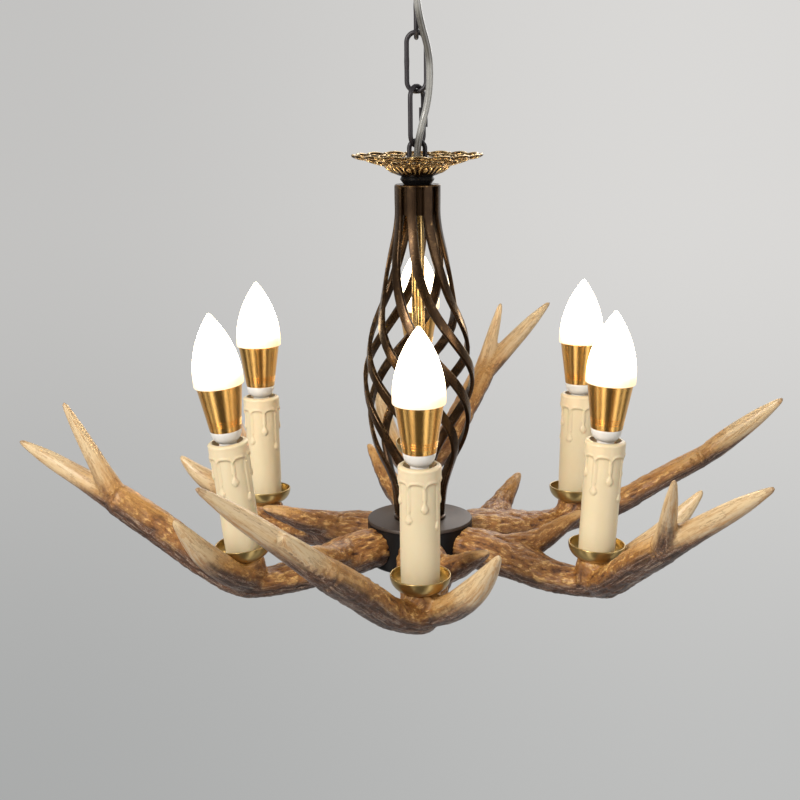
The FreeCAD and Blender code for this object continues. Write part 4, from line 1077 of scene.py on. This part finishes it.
            # How far each point faces down, which the bark's finish darkens as painted shade.
            unders.append(0.5 - 0.5 * vert.normal.z)
            normals.append(vert.normal.copy())
            ridges.append(self._ridge(flow, vert.co, drift))
        for _ in range(1):
            ridges = [
                0.5 * ridges[v.index]
                + 0.5 * sum(ridges[e.other_vert(v).index] for e in v.link_edges) / len(v.link_edges)
                for v in bm.verts
            ]
        for vert, ridge, age, normal in zip(bm.verts, ridges, ages, normals):
            fade = max(0.0, min(1.0, (0.72 - age) / 0.45))
            vert.co += normal * (ridge - 0.55) * self.ridge_height * fade
        place = self.arm.frame(self.hub_top)
        bmesh.ops.transform(bm, matrix=place, verts=bm.verts)
        name = f"antler_{self.arm.name}_bark"
        mesh = bpy.data.meshes.new(name)
        bm.to_mesh(mesh)
        bm.free()
        Forge.attribute(mesh, "age", ages)
        Forge.attribute(mesh, "ridge", ridges)
        Forge.attribute(mesh, "under", unders)
        Forge.vectors(mesh, "flow", flows)
        fitter = Fitter("fixture", "antler_resin")
        return fitter.fit_mesh(mesh, name, Bark.make(), [f"antler_{self.arm.name}"], 180.0)

    @staticmethod
    def _ridge(flow: Vector, spot: Vector, drift: Vector) -> float:
        """How high the bark stands at a point: long broken ridges with knots, from 0 to 1."""
        long_way = Vector((flow.x * 60.0, flow.y * 210.0, flow.z * 210.0)) + drift
        waves = noise.fractal(long_way, 0.8, 2.1, 4, noise_basis="PERLIN_ORIGINAL")
        knots = noise.noise(spot * 190.0 + drift)
        crest = 1.0 - abs(waves) * 1.6
        return max(0.0, min(1.0, 0.62 * crest + 0.42 * (0.5 + 0.5 * knots)))


# ------------------------------------------------------------------ lights


@dataclass
class Drip:
    """One run of wax: where it is round the candle, how far down it goes, and how wide it is."""

    angle: float
    end: float
    half_width: float


@dataclass
class CandleLight:
    """Cup, sleeve and lamp of one arm. Heights are in mm along the candle's axis, from the cup."""

    arm: Arm
    hub_top: float
    cup_radius: float = 21.0
    cup_foot: float = 13.4
    cup_height: float = 11.0
    sheet: float = 1.0
    sleeve_radius: float = 13.35
    sleeve_foot_radius: float = 12.9
    sleeve_top: float = 88.0
    mouth_radius: float = 12.1
    arch_level: float = 77.5
    wax: float = 1.05
    collar_level: float = 87.6
    collar_mouth: float = 7.2
    collar_rim: float = 11.0
    sink_level: float = 96.5
    sink_rim: float = 16.3
    rim_level: float = 129.5
    dome_radius: float = 17.7
    dome_height: float = 50.6

    def build(self) -> None:
        """Makes the five visible pieces."""
        self._cup()
        self._sleeve()
        self._collar()
        self._sink()
        self._dome()

    def _place(self) -> Matrix:
        """The seat's frame."""
        return self.arm.seat(self.hub_top)

    def _fit(
        self, bm: bmesh.types.BMesh, kind: str, suffix: str, finish: bpy.types.Material,
        body: str, slot: str, crease: float = 40.0,
        marks: dict[str, Callable[[Vector], float]] | None = None,
    ) -> None:
        """Fits one lathe-made piece at the seat, storing its marks as attributes first."""
        values = {
            name: [rule(vert.co) for vert in bm.verts] for name, rule in (marks or {}).items()
        }
        name = f"{kind}_{self.arm.name}"
        bmesh.ops.transform(bm, matrix=self._place(), verts=bm.verts)
        mesh = bpy.data.meshes.new(f"{name}_{suffix}")
        bm.to_mesh(mesh)
        bm.free()
        for label, numbers in values.items():
            Forge.attribute(mesh, label, numbers)
        Fitter(body, slot).fit_mesh(mesh, f"{name}_{suffix}", finish, [name], crease)

    def _cup(self) -> None:
        """The shallow cup with a rolled rim and a short neck."""
        foot, rim, height = self.cup_foot, self.cup_radius, self.cup_height
        outer = [(5.1, 0.0), (foot, 0.0)]
        outer += Forge.arc((foot, 0.0), (rim - 0.5, height - 0.6), 2.0, 10)
        outer += Forge.arc((rim - 0.5, height - 0.6), (rim - 1.5, height - 0.6), 0.5, 6)
        outer += Forge.arc((rim - 1.5, height - 0.6), (foot, self.sheet), -1.9, 10)
        outer.append((5.1, self.sheet))
        bm = Forge.lathe([(r * MM, z * MM) for r, z in outer], 64)
        self._fit(
            bm, "cup", "brass", Metal.CUP.value.make(), "fixture", "cup_brass",
            marks={"rub": lambda co: max(
                0.0, 1 - abs(co.z - (height - 0.4) * MM) / (1.4 * MM),
            )},
        )

    def _drips(self) -> list[Drip]:
        """The sleeve's runs of wax; every sleeve is from the same mould, turned its own way."""
        runs = (
            (-72.0, 62.0, 1.8), (-34.0, 50.0, 2.1), (14.0, 58.0, 1.9), (58.0, 44.5, 2.0),
            (104.0, 60.0, 1.9), (150.0, 52.0, 2.1), (198.0, 63.0, 1.8), (243.0, 48.0, 2.0),
        )
        facing = math.radians(-90 - self.arm.turn)
        return [Drip(facing + math.radians(a), end, width) for a, end, width in runs]

    def _wax_at(self, angle: float, height: float, drips: Sequence[Drip]) -> tuple[float, float]:
        """How thick the wax is at a point of the sleeve, in mm, and how much painted shade its crease gets there."""
        radius = self.sleeve_radius
        turns = sorted((math.remainder(angle - d.angle, 2 * math.pi) * radius, d) for d in drips)
        right = min((t for t in turns if t[0] >= 0), default=None, key=lambda t: t[0])
        left = max((t for t in turns if t[0] < 0), default=None, key=lambda t: t[0])
        gap_right = right[0] if right else 99.0
        gap_left = -left[0] if left else 99.0
        nearest = min(gap_left, gap_right)
        half = (gap_left + gap_right) / 2
        share = min(1.0, abs(gap_right - half) / half) if half else 1.0
        boundary = self.arch_level - 5.2 * (1 - math.sqrt(max(0.0, 1 - share ** 3)))
        over = height - boundary
        skirt = self.wax * min(1.0, max(0.0, over / 0.9)) ** 0.5
        bead = 0.45 * math.exp(-((over - 1.3) / 0.8) ** 2)
        fold = math.exp(-((over + 0.3) / 0.7) ** 2)
        thick = skirt + bead
        run = right[1] if gap_right < gap_left else left[1]
        tear = max(0.0, 1 - abs(height - run.end - 2.6) / 4.2)
        waist = 0.55 + 0.45 * min(1.0, abs(height - run.end - 6.5) / 3.0)
        width = run.half_width * (0.72 * waist + 0.62 * tear ** 0.7)
        low_end = height - run.end
        if low_end < width and height < self.arch_level:
            width = math.sqrt(max(0.0, width ** 2 - (width - max(0.0, low_end)) ** 2))
        if height < self.arch_level + 1 and low_end > 0 and width > 0.05:
            inside = 1 - (nearest / width) ** 2
            if inside > 0:
                thick = max(thick, (0.75 + 0.6 * tear) * math.sqrt(inside))
                fold *= 0.3
            else:
                fold = max(fold, math.exp(-((nearest - width) / 0.45) ** 2) * 0.9)
        return thick, fold

    def _sleeve(self) -> None:
        """The ivory sleeve with arches of wax round its top and runs that end in drops."""
        top, mouth = self.sleeve_top, self.mouth_radius
        body, foot = self.sleeve_radius, self.sleeve_foot_radius
        rows = 128
        low = self.sheet
        profile = [(mouth, low), (foot - 0.5, low), (foot, low + 0.5)]
        for row in range(1, rows):
            height = low + 0.5 + (top - 3.0 - low - 0.5) * row / rows
            profile.append((foot + (body - foot) * min(1.0, height / 22.0), height))
        profile += [(body, top - 2.8)]
        profile += Forge.arc((body, top - 2.8), (body - 2.0, top), 0.9, 7)
        profile += [(mouth + 0.4, top - 0.1), (mouth, top - 0.8), (mouth, top - 6.0)]
        bm = Forge.lathe([(r * MM, z * MM) for r, z in profile], 168)
        drips = self._drips()
        crease_shades = []
        for vert in bm.verts:
            reach = math.hypot(vert.co.x, vert.co.y)
            if reach < (mouth + 0.2) * MM:
                # Painted shade inside the sleeve's mouth.
                crease_shades.append(0.25)
                continue
            height = vert.co.z / MM
            thick, fold = self._wax_at(math.atan2(vert.co.y, vert.co.x), height, drips)
            closing = min(1.0, max(0.0, (reach / MM - mouth) / (body - mouth - 0.1)))
            grown = reach + thick * closing * MM
            vert.co.x *= grown / reach
            vert.co.y *= grown / reach
            # Painted crease shade, left off near the top.
            crease_shades.append(fold * (0.55 if height < top - 3 else 0.0))
        rule = dict(zip((v.index for v in bm.verts), crease_shades))
        bm.verts.index_update()
        values = [rule[v.index] for v in bm.verts]
        bmesh.ops.transform(bm, matrix=self._place(), verts=bm.verts)
        name = f"candle_{self.arm.name}"
        mesh = bpy.data.meshes.new(f"{name}_wax")
        bm.to_mesh(mesh)
        bm.free()
        Forge.attribute(mesh, "fold", values)
        Fitter("fixture", "candle_ivory").fit_mesh(mesh, f"{name}_wax", Wax.make(), [name], 60.0)

    def _collar(self) -> None:
        """The white collar, and the screw cap below it inside the sleeve."""
        low = self.collar_level
        outline = [(0.0, 51.0), (2.5, 51.0), (4.5, 53.0)]
        for turn in range(12):
            outline += [(6.9, 55.0 + 2.4 * turn), (6.4, 56.2 + 2.4 * turn)]
        outline += [(6.2, low - 1.0), (6.2, low + 0.3), (self.collar_mouth, low + 0.5)]
        outline += Forge.arc((self.collar_mouth, low + 0.5), (self.collar_rim, self.sink_level - 0.6), 1.0, 10)
        outline += [(self.collar_rim - 0.2, self.sink_level), (0.0, self.sink_level)]
        bm = Forge.lathe([(r * MM, z * MM) for r, z in outline], 64, closed=False)
        self._fit(
            bm, "bulb_base", "collar", Metal.COLLAR.value.make(), f"bulb_{self.arm.name}",
            "bulb_white",
        )

    def _sink(self) -> None:
        """The gold heat sink with its fine grooves and a thin lip."""
        low, top = self.sink_level, self.rim_level
        foot, rim = self.collar_rim + 0.3, self.sink_rim
        outline = [(0.0, low), (foot - 0.3, low), (foot, low + 0.3)]
        for groove in range(3):
            level = low + 4.0 + 1.8 * groove
            radius = foot + (level - low) * (rim - foot) / (top - low)
            outline += [(radius, level), (radius - 0.32, level + 0.3), (radius, level + 0.6)]
        outline += [(rim - 0.1, top - 0.3), (rim - 0.3, top), (rim - 1.0, top), (rim - 1.2, top - 1.4)]
        outline.append((0.0, top - 1.4))
        bm = Forge.lathe([(r * MM, z * MM) for r, z in outline], 96, closed=False)
        self._fit(
            bm, "bulb_sink", "gold", HeatSink.make(), f"bulb_{self.arm.name}", "bulb_gold", 25.0,
            marks={"turned": lambda co: co.z},
        )

    def _dome(self) -> None:
        """The flame-shaped dome."""
        low, radius = self.rim_level, self.dome_radius
        top = low + self.dome_height
        outer = [(self.sink_rim, low + 0.05), (radius - 0.25, low + 0.05), (radius, low + 0.5)]
        outer += Forge.arc((radius, low + 0.5), (1.4, top - 0.8), 4.4, 28)
        outer += Forge.arc((1.4, top - 0.8), (0.0, top + 0.2), 0.25, 4)
        inner = [(0.0, top - 2.2)]
        inner += Forge.arc((0.0, top - 2.2), (radius - 1.0, low + 0.6), -4.2, 20)
        bm = Forge.lathe([(r * MM, z * MM) for r, z in outer + inner], 72, closed=True)
        self._fit(
            bm, "bulb_dome", "opal", Opal.make(), f"bulb_{self.arm.name}", "bulb_opal", 60.0,
            marks={"turned": lambda co: co.z},
        )


# ------------------------------------------------------------------ cage, hub and crown


@dataclass
class TwistedCage:
    """Eight flat bars that swell and twist round the brass tube, with cap and foot. In mm."""

    hub_top: float
    top: float = 253.5
    neck_radius: float = 16.8
    belly: float = 41.8
    foot_radius: float = 20.0
    foot_height: float = 3.0
    cap_height: float = 1.6
    bar_width: float = 7.0
    bar_thickness: float = 3.2
    twist: float = 190.0
    bars: int = 8
    outline: tuple[Point, ...] = (
        (219, 18.2), (205, 21.2), (190, 24.4), (170, 28.4), (145, 36.0), (121, 41.3),
        (100, 41.4), (78, 39.0), (58, 34.2), (40, 26.6), (24, 21.4),
    )

    def build(self) -> None:
        """Makes the welded bars, the cap and the foot."""
        bm = bmesh.new()
        middles = self._middle_line()
        first_turn = 279.0 - self.twist * 0.135
        for number in range(self.bars):
            turn = Matrix.Rotation(math.radians(first_turn + 360 * number / self.bars), 4, "Z")
            self._bar(bm, middles, turn)
        marks = self._edge_wear_and_top_sheen(bm)
        fitter = Fitter("fixture", "cage_bronze")
        bmesh.ops.transform(bm, matrix=Matrix.Translation((0, 0, self.hub_top)), verts=bm.verts)
        mesh = bpy.data.meshes.new("cage_bars")
        bm.to_mesh(mesh)
        bm.free()
        Forge.attribute(mesh, "rub", marks)
        fitter.fit_mesh(mesh, "cage_bars", Metal.BRONZE.value.make(), ["twisted_cage"], 30.0)
        self._cap(fitter)
        self._foot(fitter)

    def _middle_line(self) -> list[Vector]:
        """The middle of one bar, from its cap to its foot, in metres."""
        straight_end, low = 231.0, self.foot_height / 2
        swell = self.belly / 41.8
        points = [(self.top - self.cap_height / 2, self.neck_radius), (242.0, self.neck_radius)]
        points += [(straight_end, self.neck_radius)]
        points += [(height, radius * swell) for height, radius in self.outline]
        points.append((low, self.foot_radius - 1.2))
        line = []
        for height, radius in smoothed(points, 4):
            share = max(0.0, (straight_end - height) / (straight_end - low))
            wave = 0.6 * math.sin(2 * math.pi * share) / (2 * math.pi)
            angle = math.radians(self.twist * (share - wave))
            reach = radius - self.bar_thickness / 2
            line.append(Vector((reach * math.cos(angle), reach * math.sin(angle), height)) * MM)
        return line

    def _bar(self, bm: bmesh.types.BMesh, line: Sequence[Vector], turn: Matrix) -> None:
        """One bar of rectangular section with softened edges."""
        stations = []
        for index, middle in enumerate(line):
            before, after = line[max(index - 1, 0)], line[min(index + 1, len(line) - 1)]
            along = (after - before).normalized()
            outward = Vector((middle.x, middle.y, 0))
            outward = (outward - along * outward.dot(along)).normalized()
            half = math.sqrt(0.5) * MM
            place = Forge.station(
                middle, along, outward, self.bar_width * half, self.bar_thickness * half
            )
            stations.append(turn @ place @ Matrix.Rotation(math.radians(45), 4, "Z"))
        lengthwise = Forge.sweep(bm, stations, 4)
        bmesh.ops.bevel(
            bm, geom=list(set(lengthwise)), offset=0.75 * MM, offset_type="OFFSET", segments=3,
            profile=0.5, affect="EDGES", clamp_overlap=True, material=-1,
        )
        bmesh.ops.recalc_face_normals(bm, faces=bm.faces)

    def _edge_wear_and_top_sheen(self, bm: bmesh.types.BMesh) -> list[float]:
        """How much each point is rubbed bright: the softened edges, with a painted highlight that is strongest where
        they face up.
        """
        bm.normal_update()
        marks = []
        for vert in bm.verts:
            narrow = min(edge.calc_length() for edge in vert.link_edges)
            edge = 1.0 if narrow < 0.62 * MM else 0.0
            # Painted highlight: edges that face up get more of the bright colour.
            facing = 0.45 + 0.55 * max(0.0, vert.normal.z)
            marks.append(edge * 0.42 * facing)
        return marks

    def _cap(self, fitter: Fitter) -> None:
        """The disc on the bars and the core between them."""
        top, radius = self.top, self.neck_radius
        core = radius - self.bar_thickness + 0.2
        outline = [
            (4.9, top), (radius - 0.5, top), (radius, top - 0.5), (radius, top - 1.3),
            (radius - 0.5, top - 1.6), (core, top - 1.7), (core, top - 22), (core - 1.5, top - 22),
            (core - 1.5, top - 2.6), (4.9, top - 2.6),
        ]
        bm = Forge.lathe([(r * MM, z * MM) for r, z in outline], 64)
        place = Matrix.Translation((0, 0, self.hub_top))
        rim = top * MM
        marks = [max(0.0, 1 - abs(v.co.z - rim + 0.6 * MM) / (1.0 * MM)) * 0.55
                 if math.hypot(v.co.x, v.co.y) > (radius - 0.7) * MM else 0.0 for v in bm.verts]
        bmesh.ops.transform(bm, matrix=place, verts=bm.verts)
        mesh = bpy.data.meshes.new("cage_cap")
        bm.to_mesh(mesh)
        bm.free()
        Forge.attribute(mesh, "rub", marks)
        fitter.fit_mesh(mesh, "cage_cap", Metal.BRONZE.value.make(), ["twisted_cage"])

    def _foot(self, fitter: Fitter) -> None:
        """The disc that the bars stand on."""
        radius, height = self.foot_radius, self.foot_height
        outline = [(4.9, 0.05), (radius, 0.05), (radius, height * 0.7), (radius - 1, height), (4.9, height)]
        bm = Forge.lathe([(r * MM, z * MM) for r, z in outline], 64)
        fitter.fit(
            bm, "cage_foot", Metal.BRONZE.value.make(), ["twisted_cage"],
            Matrix.Translation((0, 0, self.hub_top)),
        )


@dataclass
class Hub:
    """The drum that the antlers are fixed to, its cover and its domed nut. In mm."""

    hub_top: float
    radius: float = 40.0
    height: float = 35.0
    cover: float = 3.0

    def build(self) -> None:
        """Makes cover, drum and nut."""
        radius = self.radius
        place = Matrix.Translation((0, 0, self.hub_top))
        outline = [
            (4.9, -self.cover), (radius - 0.6, -self.cover), (radius, -self.cover + 0.6),
            (radius, -0.9), (radius - 0.3, -0.25), (radius - 1.0, 0.0), (4.9, 0.0),
        ]
        bm = Forge.lathe([(r * MM, z * MM) for r, z in outline], 128)
        marks = [
            1.0 if math.hypot(v.co.x, v.co.y) > (radius - 1.2) * MM and v.co.z > -1.2 * MM else 0.0
            for v in bm.verts
        ]
        bmesh.ops.transform(bm, matrix=place, verts=bm.verts)
        mesh = bpy.data.meshes.new("hub_cover_disc")
        bm.to_mesh(mesh)
        bm.free()
        Forge.attribute(mesh, "rub", marks)
        Fitter("fixture", "hub_bronze").fit_mesh(
            mesh, "hub_cover_disc", Metal.HUB.value.make(), ["hub_cover"]
        )
        low = -self.height
        outline = [
            (4.9, low), (radius - 3, low), *Forge.arc((radius - 3, low), (radius, low + 3), 0.88, 6),
            (radius, -self.cover), (radius - 2.5, -self.cover), (radius - 2.5, low + 2), (4.9, low + 2),
        ]
        bm = Forge.lathe([(r * MM, z * MM) for r, z in outline], 128)
        Fitter("fixture", "fitting_black").fit(
            bm, "hub_drum_shell", Metal.BLACK.value.make(), ["hub_drum"], place
        )
        outline = [(0.0, low - 6), (2.0, low - 6), *Forge.arc((2.0, low - 6), (8.0, low - 1.5), 0.8, 8)]
        outline += [(8.0, low), (4.9, low), (4.9, low - 2), (0.0, low - 2)]
        bm = Forge.lathe([(r * MM, z * MM) for r, z in outline], 64, closed=False)
        Fitter("fixture", "hub_bronze").fit(
            bm, "hub_finial_nut", Metal.BLACK.value.make(), ["hub_finial"], place
        )


@dataclass
class FiligreeCrown:
    """The pierced saucer and the bowl of petals below it; the dark neck stays the frame's own piece. In mm from the
    pivot.
    """

    pivot: float
    rim: float = -8.0
    radius: float = 48.5
    fall: float = 7.0
    bowl_radius: float = 25.0
    bowl_height: float = 10.0
    lobes: int = 16
    petals: int = 12

    def build(self) -> None:
        """Makes saucer and bowl."""
        self._saucer()
        self._bowl()

    def _level(self, reach: float) -> float:
        """The saucer's middle level at a distance from the axis."""
        share = (reach - self.bowl_radius) / (self.radius - self.bowl_radius)
        return self.rim - self.fall * (1 - share) ** 1.3 - 0.6

    def _loop(
        self, bm: bmesh.types.BMesh, reach: float, turn: float, out: float, along: float,
        thick: float,
    ) -> None:
        """An oval of wire that lies in the saucer."""
        path = []
        for step in range(18):
            angle = 2 * math.pi * step / 18
            away = reach + out * math.cos(angle)
            side = along * math.sin(angle)
            height = self._level(away) + 0.25 * math.cos(2 * angle)
            base = math.radians(turn)
            path.append(Vector((
                away * math.cos(base) - side * math.sin(base),
                away * math.sin(base) + side * math.cos(base), height,
            )) * MM)
        Forge.wire(bm, path, thick * MM, 8, ring=True)

    def _saucer(self) -> None:
        """Scrolls, rings and a lobed rim, run together."""
        bm = bmesh.new()
        for number in range(self.lobes):
            turn = 360 * number / self.lobes
            half = turn + 180 / self.lobes
            self._loop(bm, self.radius - 5.6, turn, 4.2, 7.6, 1.15)
            self._loop(bm, self.radius - 15.0, turn, 5.0, 5.6, 1.1)
            self._loop(bm, self.radius - 19.8, half, 2.8, 3.4, 0.9)
            bmesh.ops.create_icosphere(
                bm, subdivisions=2, radius=1.5 * MM,
                matrix=Matrix.Translation(self._at(self.radius - 4.6, half)),
            )
            bmesh.ops.create_icosphere(
                bm, subdivisions=2, radius=1.35 * MM,
                matrix=Matrix.Translation(self._at(self.radius - 14.6, turn)),
            )
        for reach in (self.bowl_radius + 0.4, self.bowl_radius + 2.6):
            path = [self._at(reach, 360 * step / 72) for step in range(72)]
            Forge.wire(bm, path, 0.75 * MM, 8, ring=True)
        bmesh.ops.recalc_face_normals(bm, faces=bm.faces)
        bm.normal_update()
        # Brighter where the wires face up or down: partly rubbed wear on their tops, partly painted highlight.
        marks = [0.18 + 0.62 * max(0.0, abs(v.normal.z) - 0.15) for v in bm.verts]
        self._place(bm, "filigree_scrolls", marks, "filigree_plate")

    def _at(self, reach: float, turn: float) -> Vector:
        """A point of the saucer, in metres."""
        angle = math.radians(turn)
        return Vector((reach * math.cos(angle), reach * math.sin(angle), self._level(reach))) * MM

    def _bowl(self) -> None:
        """The bowl: arched petals, each with a raised rib round a bead."""
        top = self.rim - self.fall
        low = top - self.bowl_height + 1.2
        foot = 10.7
        outline = [(4.95, low), (foot, low)]
        outline += Forge.arc((foot, low), (self.bowl_radius, top), 1.66, 26)
        outline += [(self.bowl_radius - 0.5, top + 0.4), (self.bowl_radius - 2.0, top + 0.2)]
        outline += Forge.arc((self.bowl_radius - 2.0, top + 0.2), (foot, low + 1.2), -1.3, 12)
        outline.append((4.95, low + 1.2))
        bm = Forge.lathe([(r * MM, z * MM) for r, z in outline], 240)
        marks = []
        for vert in bm.verts:
            reach = math.hypot(vert.co.x, vert.co.y) / MM
            inside = vert.co.z / MM > low + 0.9 + (reach - foot) * 0.62
            if reach < foot + 0.2 or inside:
                marks.append(0.15)
                continue
            rise = (vert.co.z / MM - low) / self.bowl_height
            angle = math.atan2(vert.co.y, vert.co.x)
            share = (angle / (2 * math.pi) * self.petals) % 1.0 - 0.5
            across = share * 2
            up = (rise - 0.18) / 0.72
            ring = math.hypot(across * 1.08, (up - 0.28) * 1.15)
            rib = math.exp(-((ring - 0.78) / 0.13) ** 2) if up > 0.05 else 0.0
            seam = math.exp(-((abs(across) - 1.0) / 0.1) ** 2)
            bead = max(0.0, 1 - ((across / 0.36) ** 2 + ((up - 0.42) / 0.36) ** 2))
            raised = 0.95 * rib + 1.15 * math.sqrt(bead) - 0.5 * seam
            grown = (reach + raised * 0.85) * MM
            old = reach * MM
            vert.co.x *= grown / old
            vert.co.y *= grown / old
            marks.append(min(1.0, 0.12 + 0.7 * rib + 0.75 * bead))
        self._place(bm, "petal_bowl_cast", marks, "petal_bowl")

    def _place(
        self, bm: bmesh.types.BMesh, name: str, marks: Sequence[float], node: str
    ) -> None:
        """Fits one cast piece on the fixture."""
        bmesh.ops.transform(bm, matrix=Matrix.Translation((0, 0, self.pivot)), verts=bm.verts)
        mesh = bpy.data.meshes.new(name)
        bm.to_mesh(mesh)
        bm.free()
        Forge.attribute(mesh, "rub", marks)
        Fitter("fixture", "filigree_bronze").fit_mesh(
            mesh, name, Metal.FILIGREE.value.make(), [node], 50.0
        )


# ------------------------------------------------------------------ hanging gear


@dataclass
class Chain:
    """Three oval links and the quick link. In mm."""

    pivots: tuple[float, ...]
    wire: float = 3.5
    gap: float = 0.3
    link_length: float = 45.0
    link_width: float = 17.5
    quick_length: float = 46.0
    quick_width: float = 19.5

    def build(self) -> None:
        """Makes each link on its own body."""
        for number, turn in enumerate((0.0, 90.0, -4.0)):
            self._link(
                f"chain_link_{number}", f"link_{number}", self.pivots[number], turn,
                self.link_length, self.link_width,
            )
        self._link(
            "quick_link", "quick_link", self.pivots[3], 54.0, self.quick_length, self.quick_width
        )

    def _link(
        self, node: str, body: str, pivot: float, turn: float, length: float, width: float
    ) -> None:
        """One link, with a faint weld and rubbed bows."""
        path = Forge.oval(length, width, self.wire, 16, 6)
        bm = bmesh.new()
        Forge.wire(bm, [point * MM for point in path], self.wire / 2 * MM, 20, ring=True)
        if node != "quick_link":
            reach = (width - self.wire) / 2
            self._weld(bm, reach)
        marks = []
        inner = (length / 2 - self.wire) * MM
        for vert in bm.verts:
            bow = max(0.0, (abs(vert.co.z) - inner * 0.94) / (2.2 * MM))
            marks.append(min(1.0, bow) * 0.55)
        middle = pivot + (self.wire + self.gap) / 2 - (length - self.wire) / 2
        place = Matrix.Translation((0, 0, middle * MM)) @ Matrix.Rotation(math.radians(turn), 4, "Z")
        bmesh.ops.transform(bm, matrix=place, verts=bm.verts)
        mesh = bpy.data.meshes.new(f"{node}_wire")
        bm.to_mesh(mesh)
        bm.free()
        Forge.attribute(mesh, "rub", marks)
        Fitter(body, "chain_black").fit_mesh(
            mesh, f"{node}_wire", Metal.CHAIN.value.make(), [node], 50.0
        )

    def _weld(self, bm: bmesh.types.BMesh, reach: float) -> None:
        """The slightly swollen weld half way down one leg."""
        for vert in bm.verts:
            if vert.co.x > 0 or abs(vert.co.z) > 1.6 * MM:
                continue
            away = Vector((vert.co.x + reach * MM, vert.co.y, 0))
            vert.co += away * 0.08


@dataclass
class Cord:
    """The clear twin cord, on one smooth line through its given points. In metres."""

    hub_top: float
    diameter: float = 0.005
    length: float = 0.172
    grip: tuple[float, float, float] = (0, -0.022, -0.04)
    route: tuple[tuple[float, float, float], ...] = (
        (0, -0.007, 0.270),
        (0, -0.007, 0.281),
        (0.0035, -0.007, 0.296),
        (0.0082, -0.0062, 0.313),
        (0.0098, -0.0056, 0.332),
        (0.0084, -0.007, 0.350),
        (0.0032, -0.0112, 0.367),
        (0.0003, -0.0128, 0.384),
        (-0.0006, -0.013, 0.400),
        (0.0002, -0.0175, 0.414),
        (0, -0.022, 0.427),
    )

    def build(self) -> None:
        """Makes the cord, ties it to the chain's bodies, and hides the frame's own cord."""
        points = [Vector(point) + Vector((0, 0, self.hub_top)) for point in self.route]
        points.append(Vector(self.grip))
        points.reverse()
        data = bpy.data.curves.new("clear_twin_cord", "CURVE")
        data.dimensions = "3D"
        data.bevel_depth = self.diameter / 2
        data.bevel_resolution = 6
        data.resolution_u = 16
        spline = data.splines.new("NURBS")
        spline.points.add(len(points) - 1)
        for control, point in zip(spline.points, points):
            control.co = (*point, 1)
        spline.order_u = 3
        spline.use_endpoint_u = True
        data.materials.append(ClearCord.make())
        piece = bpy.data.objects.new("clear_twin_cord", data)
        bpy.context.scene.collection.objects.link(piece)
        self._hook(piece, len(points))
        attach(piece, "ceiling_mount")
        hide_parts("cord")
        LOG.info("clear_twin_cord: %d points", len(points))

    @staticmethod
    def _hook(piece: bpy.types.Object, count: int) -> None:
        """Ties each of the cord's points to the body beside it, so that it follows the chain."""
        bodies = ("ceiling_mount",) * 3 + ("link_0",) * 2 + ("link_1",) * 2 + ("link_2",) * 2
        bodies += ("quick_link",) + ("fixture",) * 2
        for body in sorted(set(bodies) - {"ceiling_mount"}):
            hook = piece.modifiers.new(f"follow_{body}", "HOOK")
            hook.object = bpy.data.objects[f"body:{body}"]
            hook.vertex_indices_set([index for index, name in enumerate(bodies[:count]) if name == body])


@dataclass
class KeptNodes:
    """The frame's own pieces that stay, each with its finish."""

    nodes: dict[str, bpy.types.Object]

    def dress(self) -> None:
        """Gives every kept piece its material."""
        finishes = {
            "ceiling_bracket": Metal.ZINC, "canopy": Metal.BLACK, "canopy_fasteners": Metal.ZINC,
            "canopy_loop": Metal.CHAIN, "cord_grip": Metal.NYLON, "quick_link_sleeve": Metal.CHAIN,
            "fixture_loop": Metal.CHAIN, "neck_cone": Metal.BLACK, "centre_tube": Metal.BRASS,
            "terminal_ring": Metal.CERAMIC, "arm_fasteners": Metal.ZINC,
            "wiring": Metal.INSULATION, "lampholders": Metal.CERAMIC,
        }
        for name, finish in finishes.items():
            node = self.nodes[name]
            material = finish.value.make()
            if node.material_slots:
                for held in node.material_slots:
                    held.material = material
            else:
                node.data.materials.append(material)
            LOG.info("%s dressed in %s", name, material.name)


def main(frame: dict) -> None:
    """Builds the fitting and its studio.

    Args:
        frame: What loading the frame gave.
    """
    logging.basicConfig(level=logging.INFO, format="%(name)s: %(message)s")
    random.seed(7)
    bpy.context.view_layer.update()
    hub_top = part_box("hub_cover")[1].z
    pivots = tuple(
        round(joint["pos_m"][2] / MM, 3) for joint in frame["joints"] if "swing" in joint["name"]
    )
    Studio(hub_top).build()
    Cord(hub_top).build()
    Chain(pivots).build()
    FiligreeCrown(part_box("filigree_plate")[1].z + 8.0 * MM).build()
    TwistedCage(hub_top).build()
    Hub(hub_top).build()
    for arm in ARMS:
        Antler(arm, hub_top).build()
        CandleLight(arm, hub_top).build()
    KeptNodes(frame["nodes"]).dress()


if __name__ == "__main__":
    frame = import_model()
    main(frame)
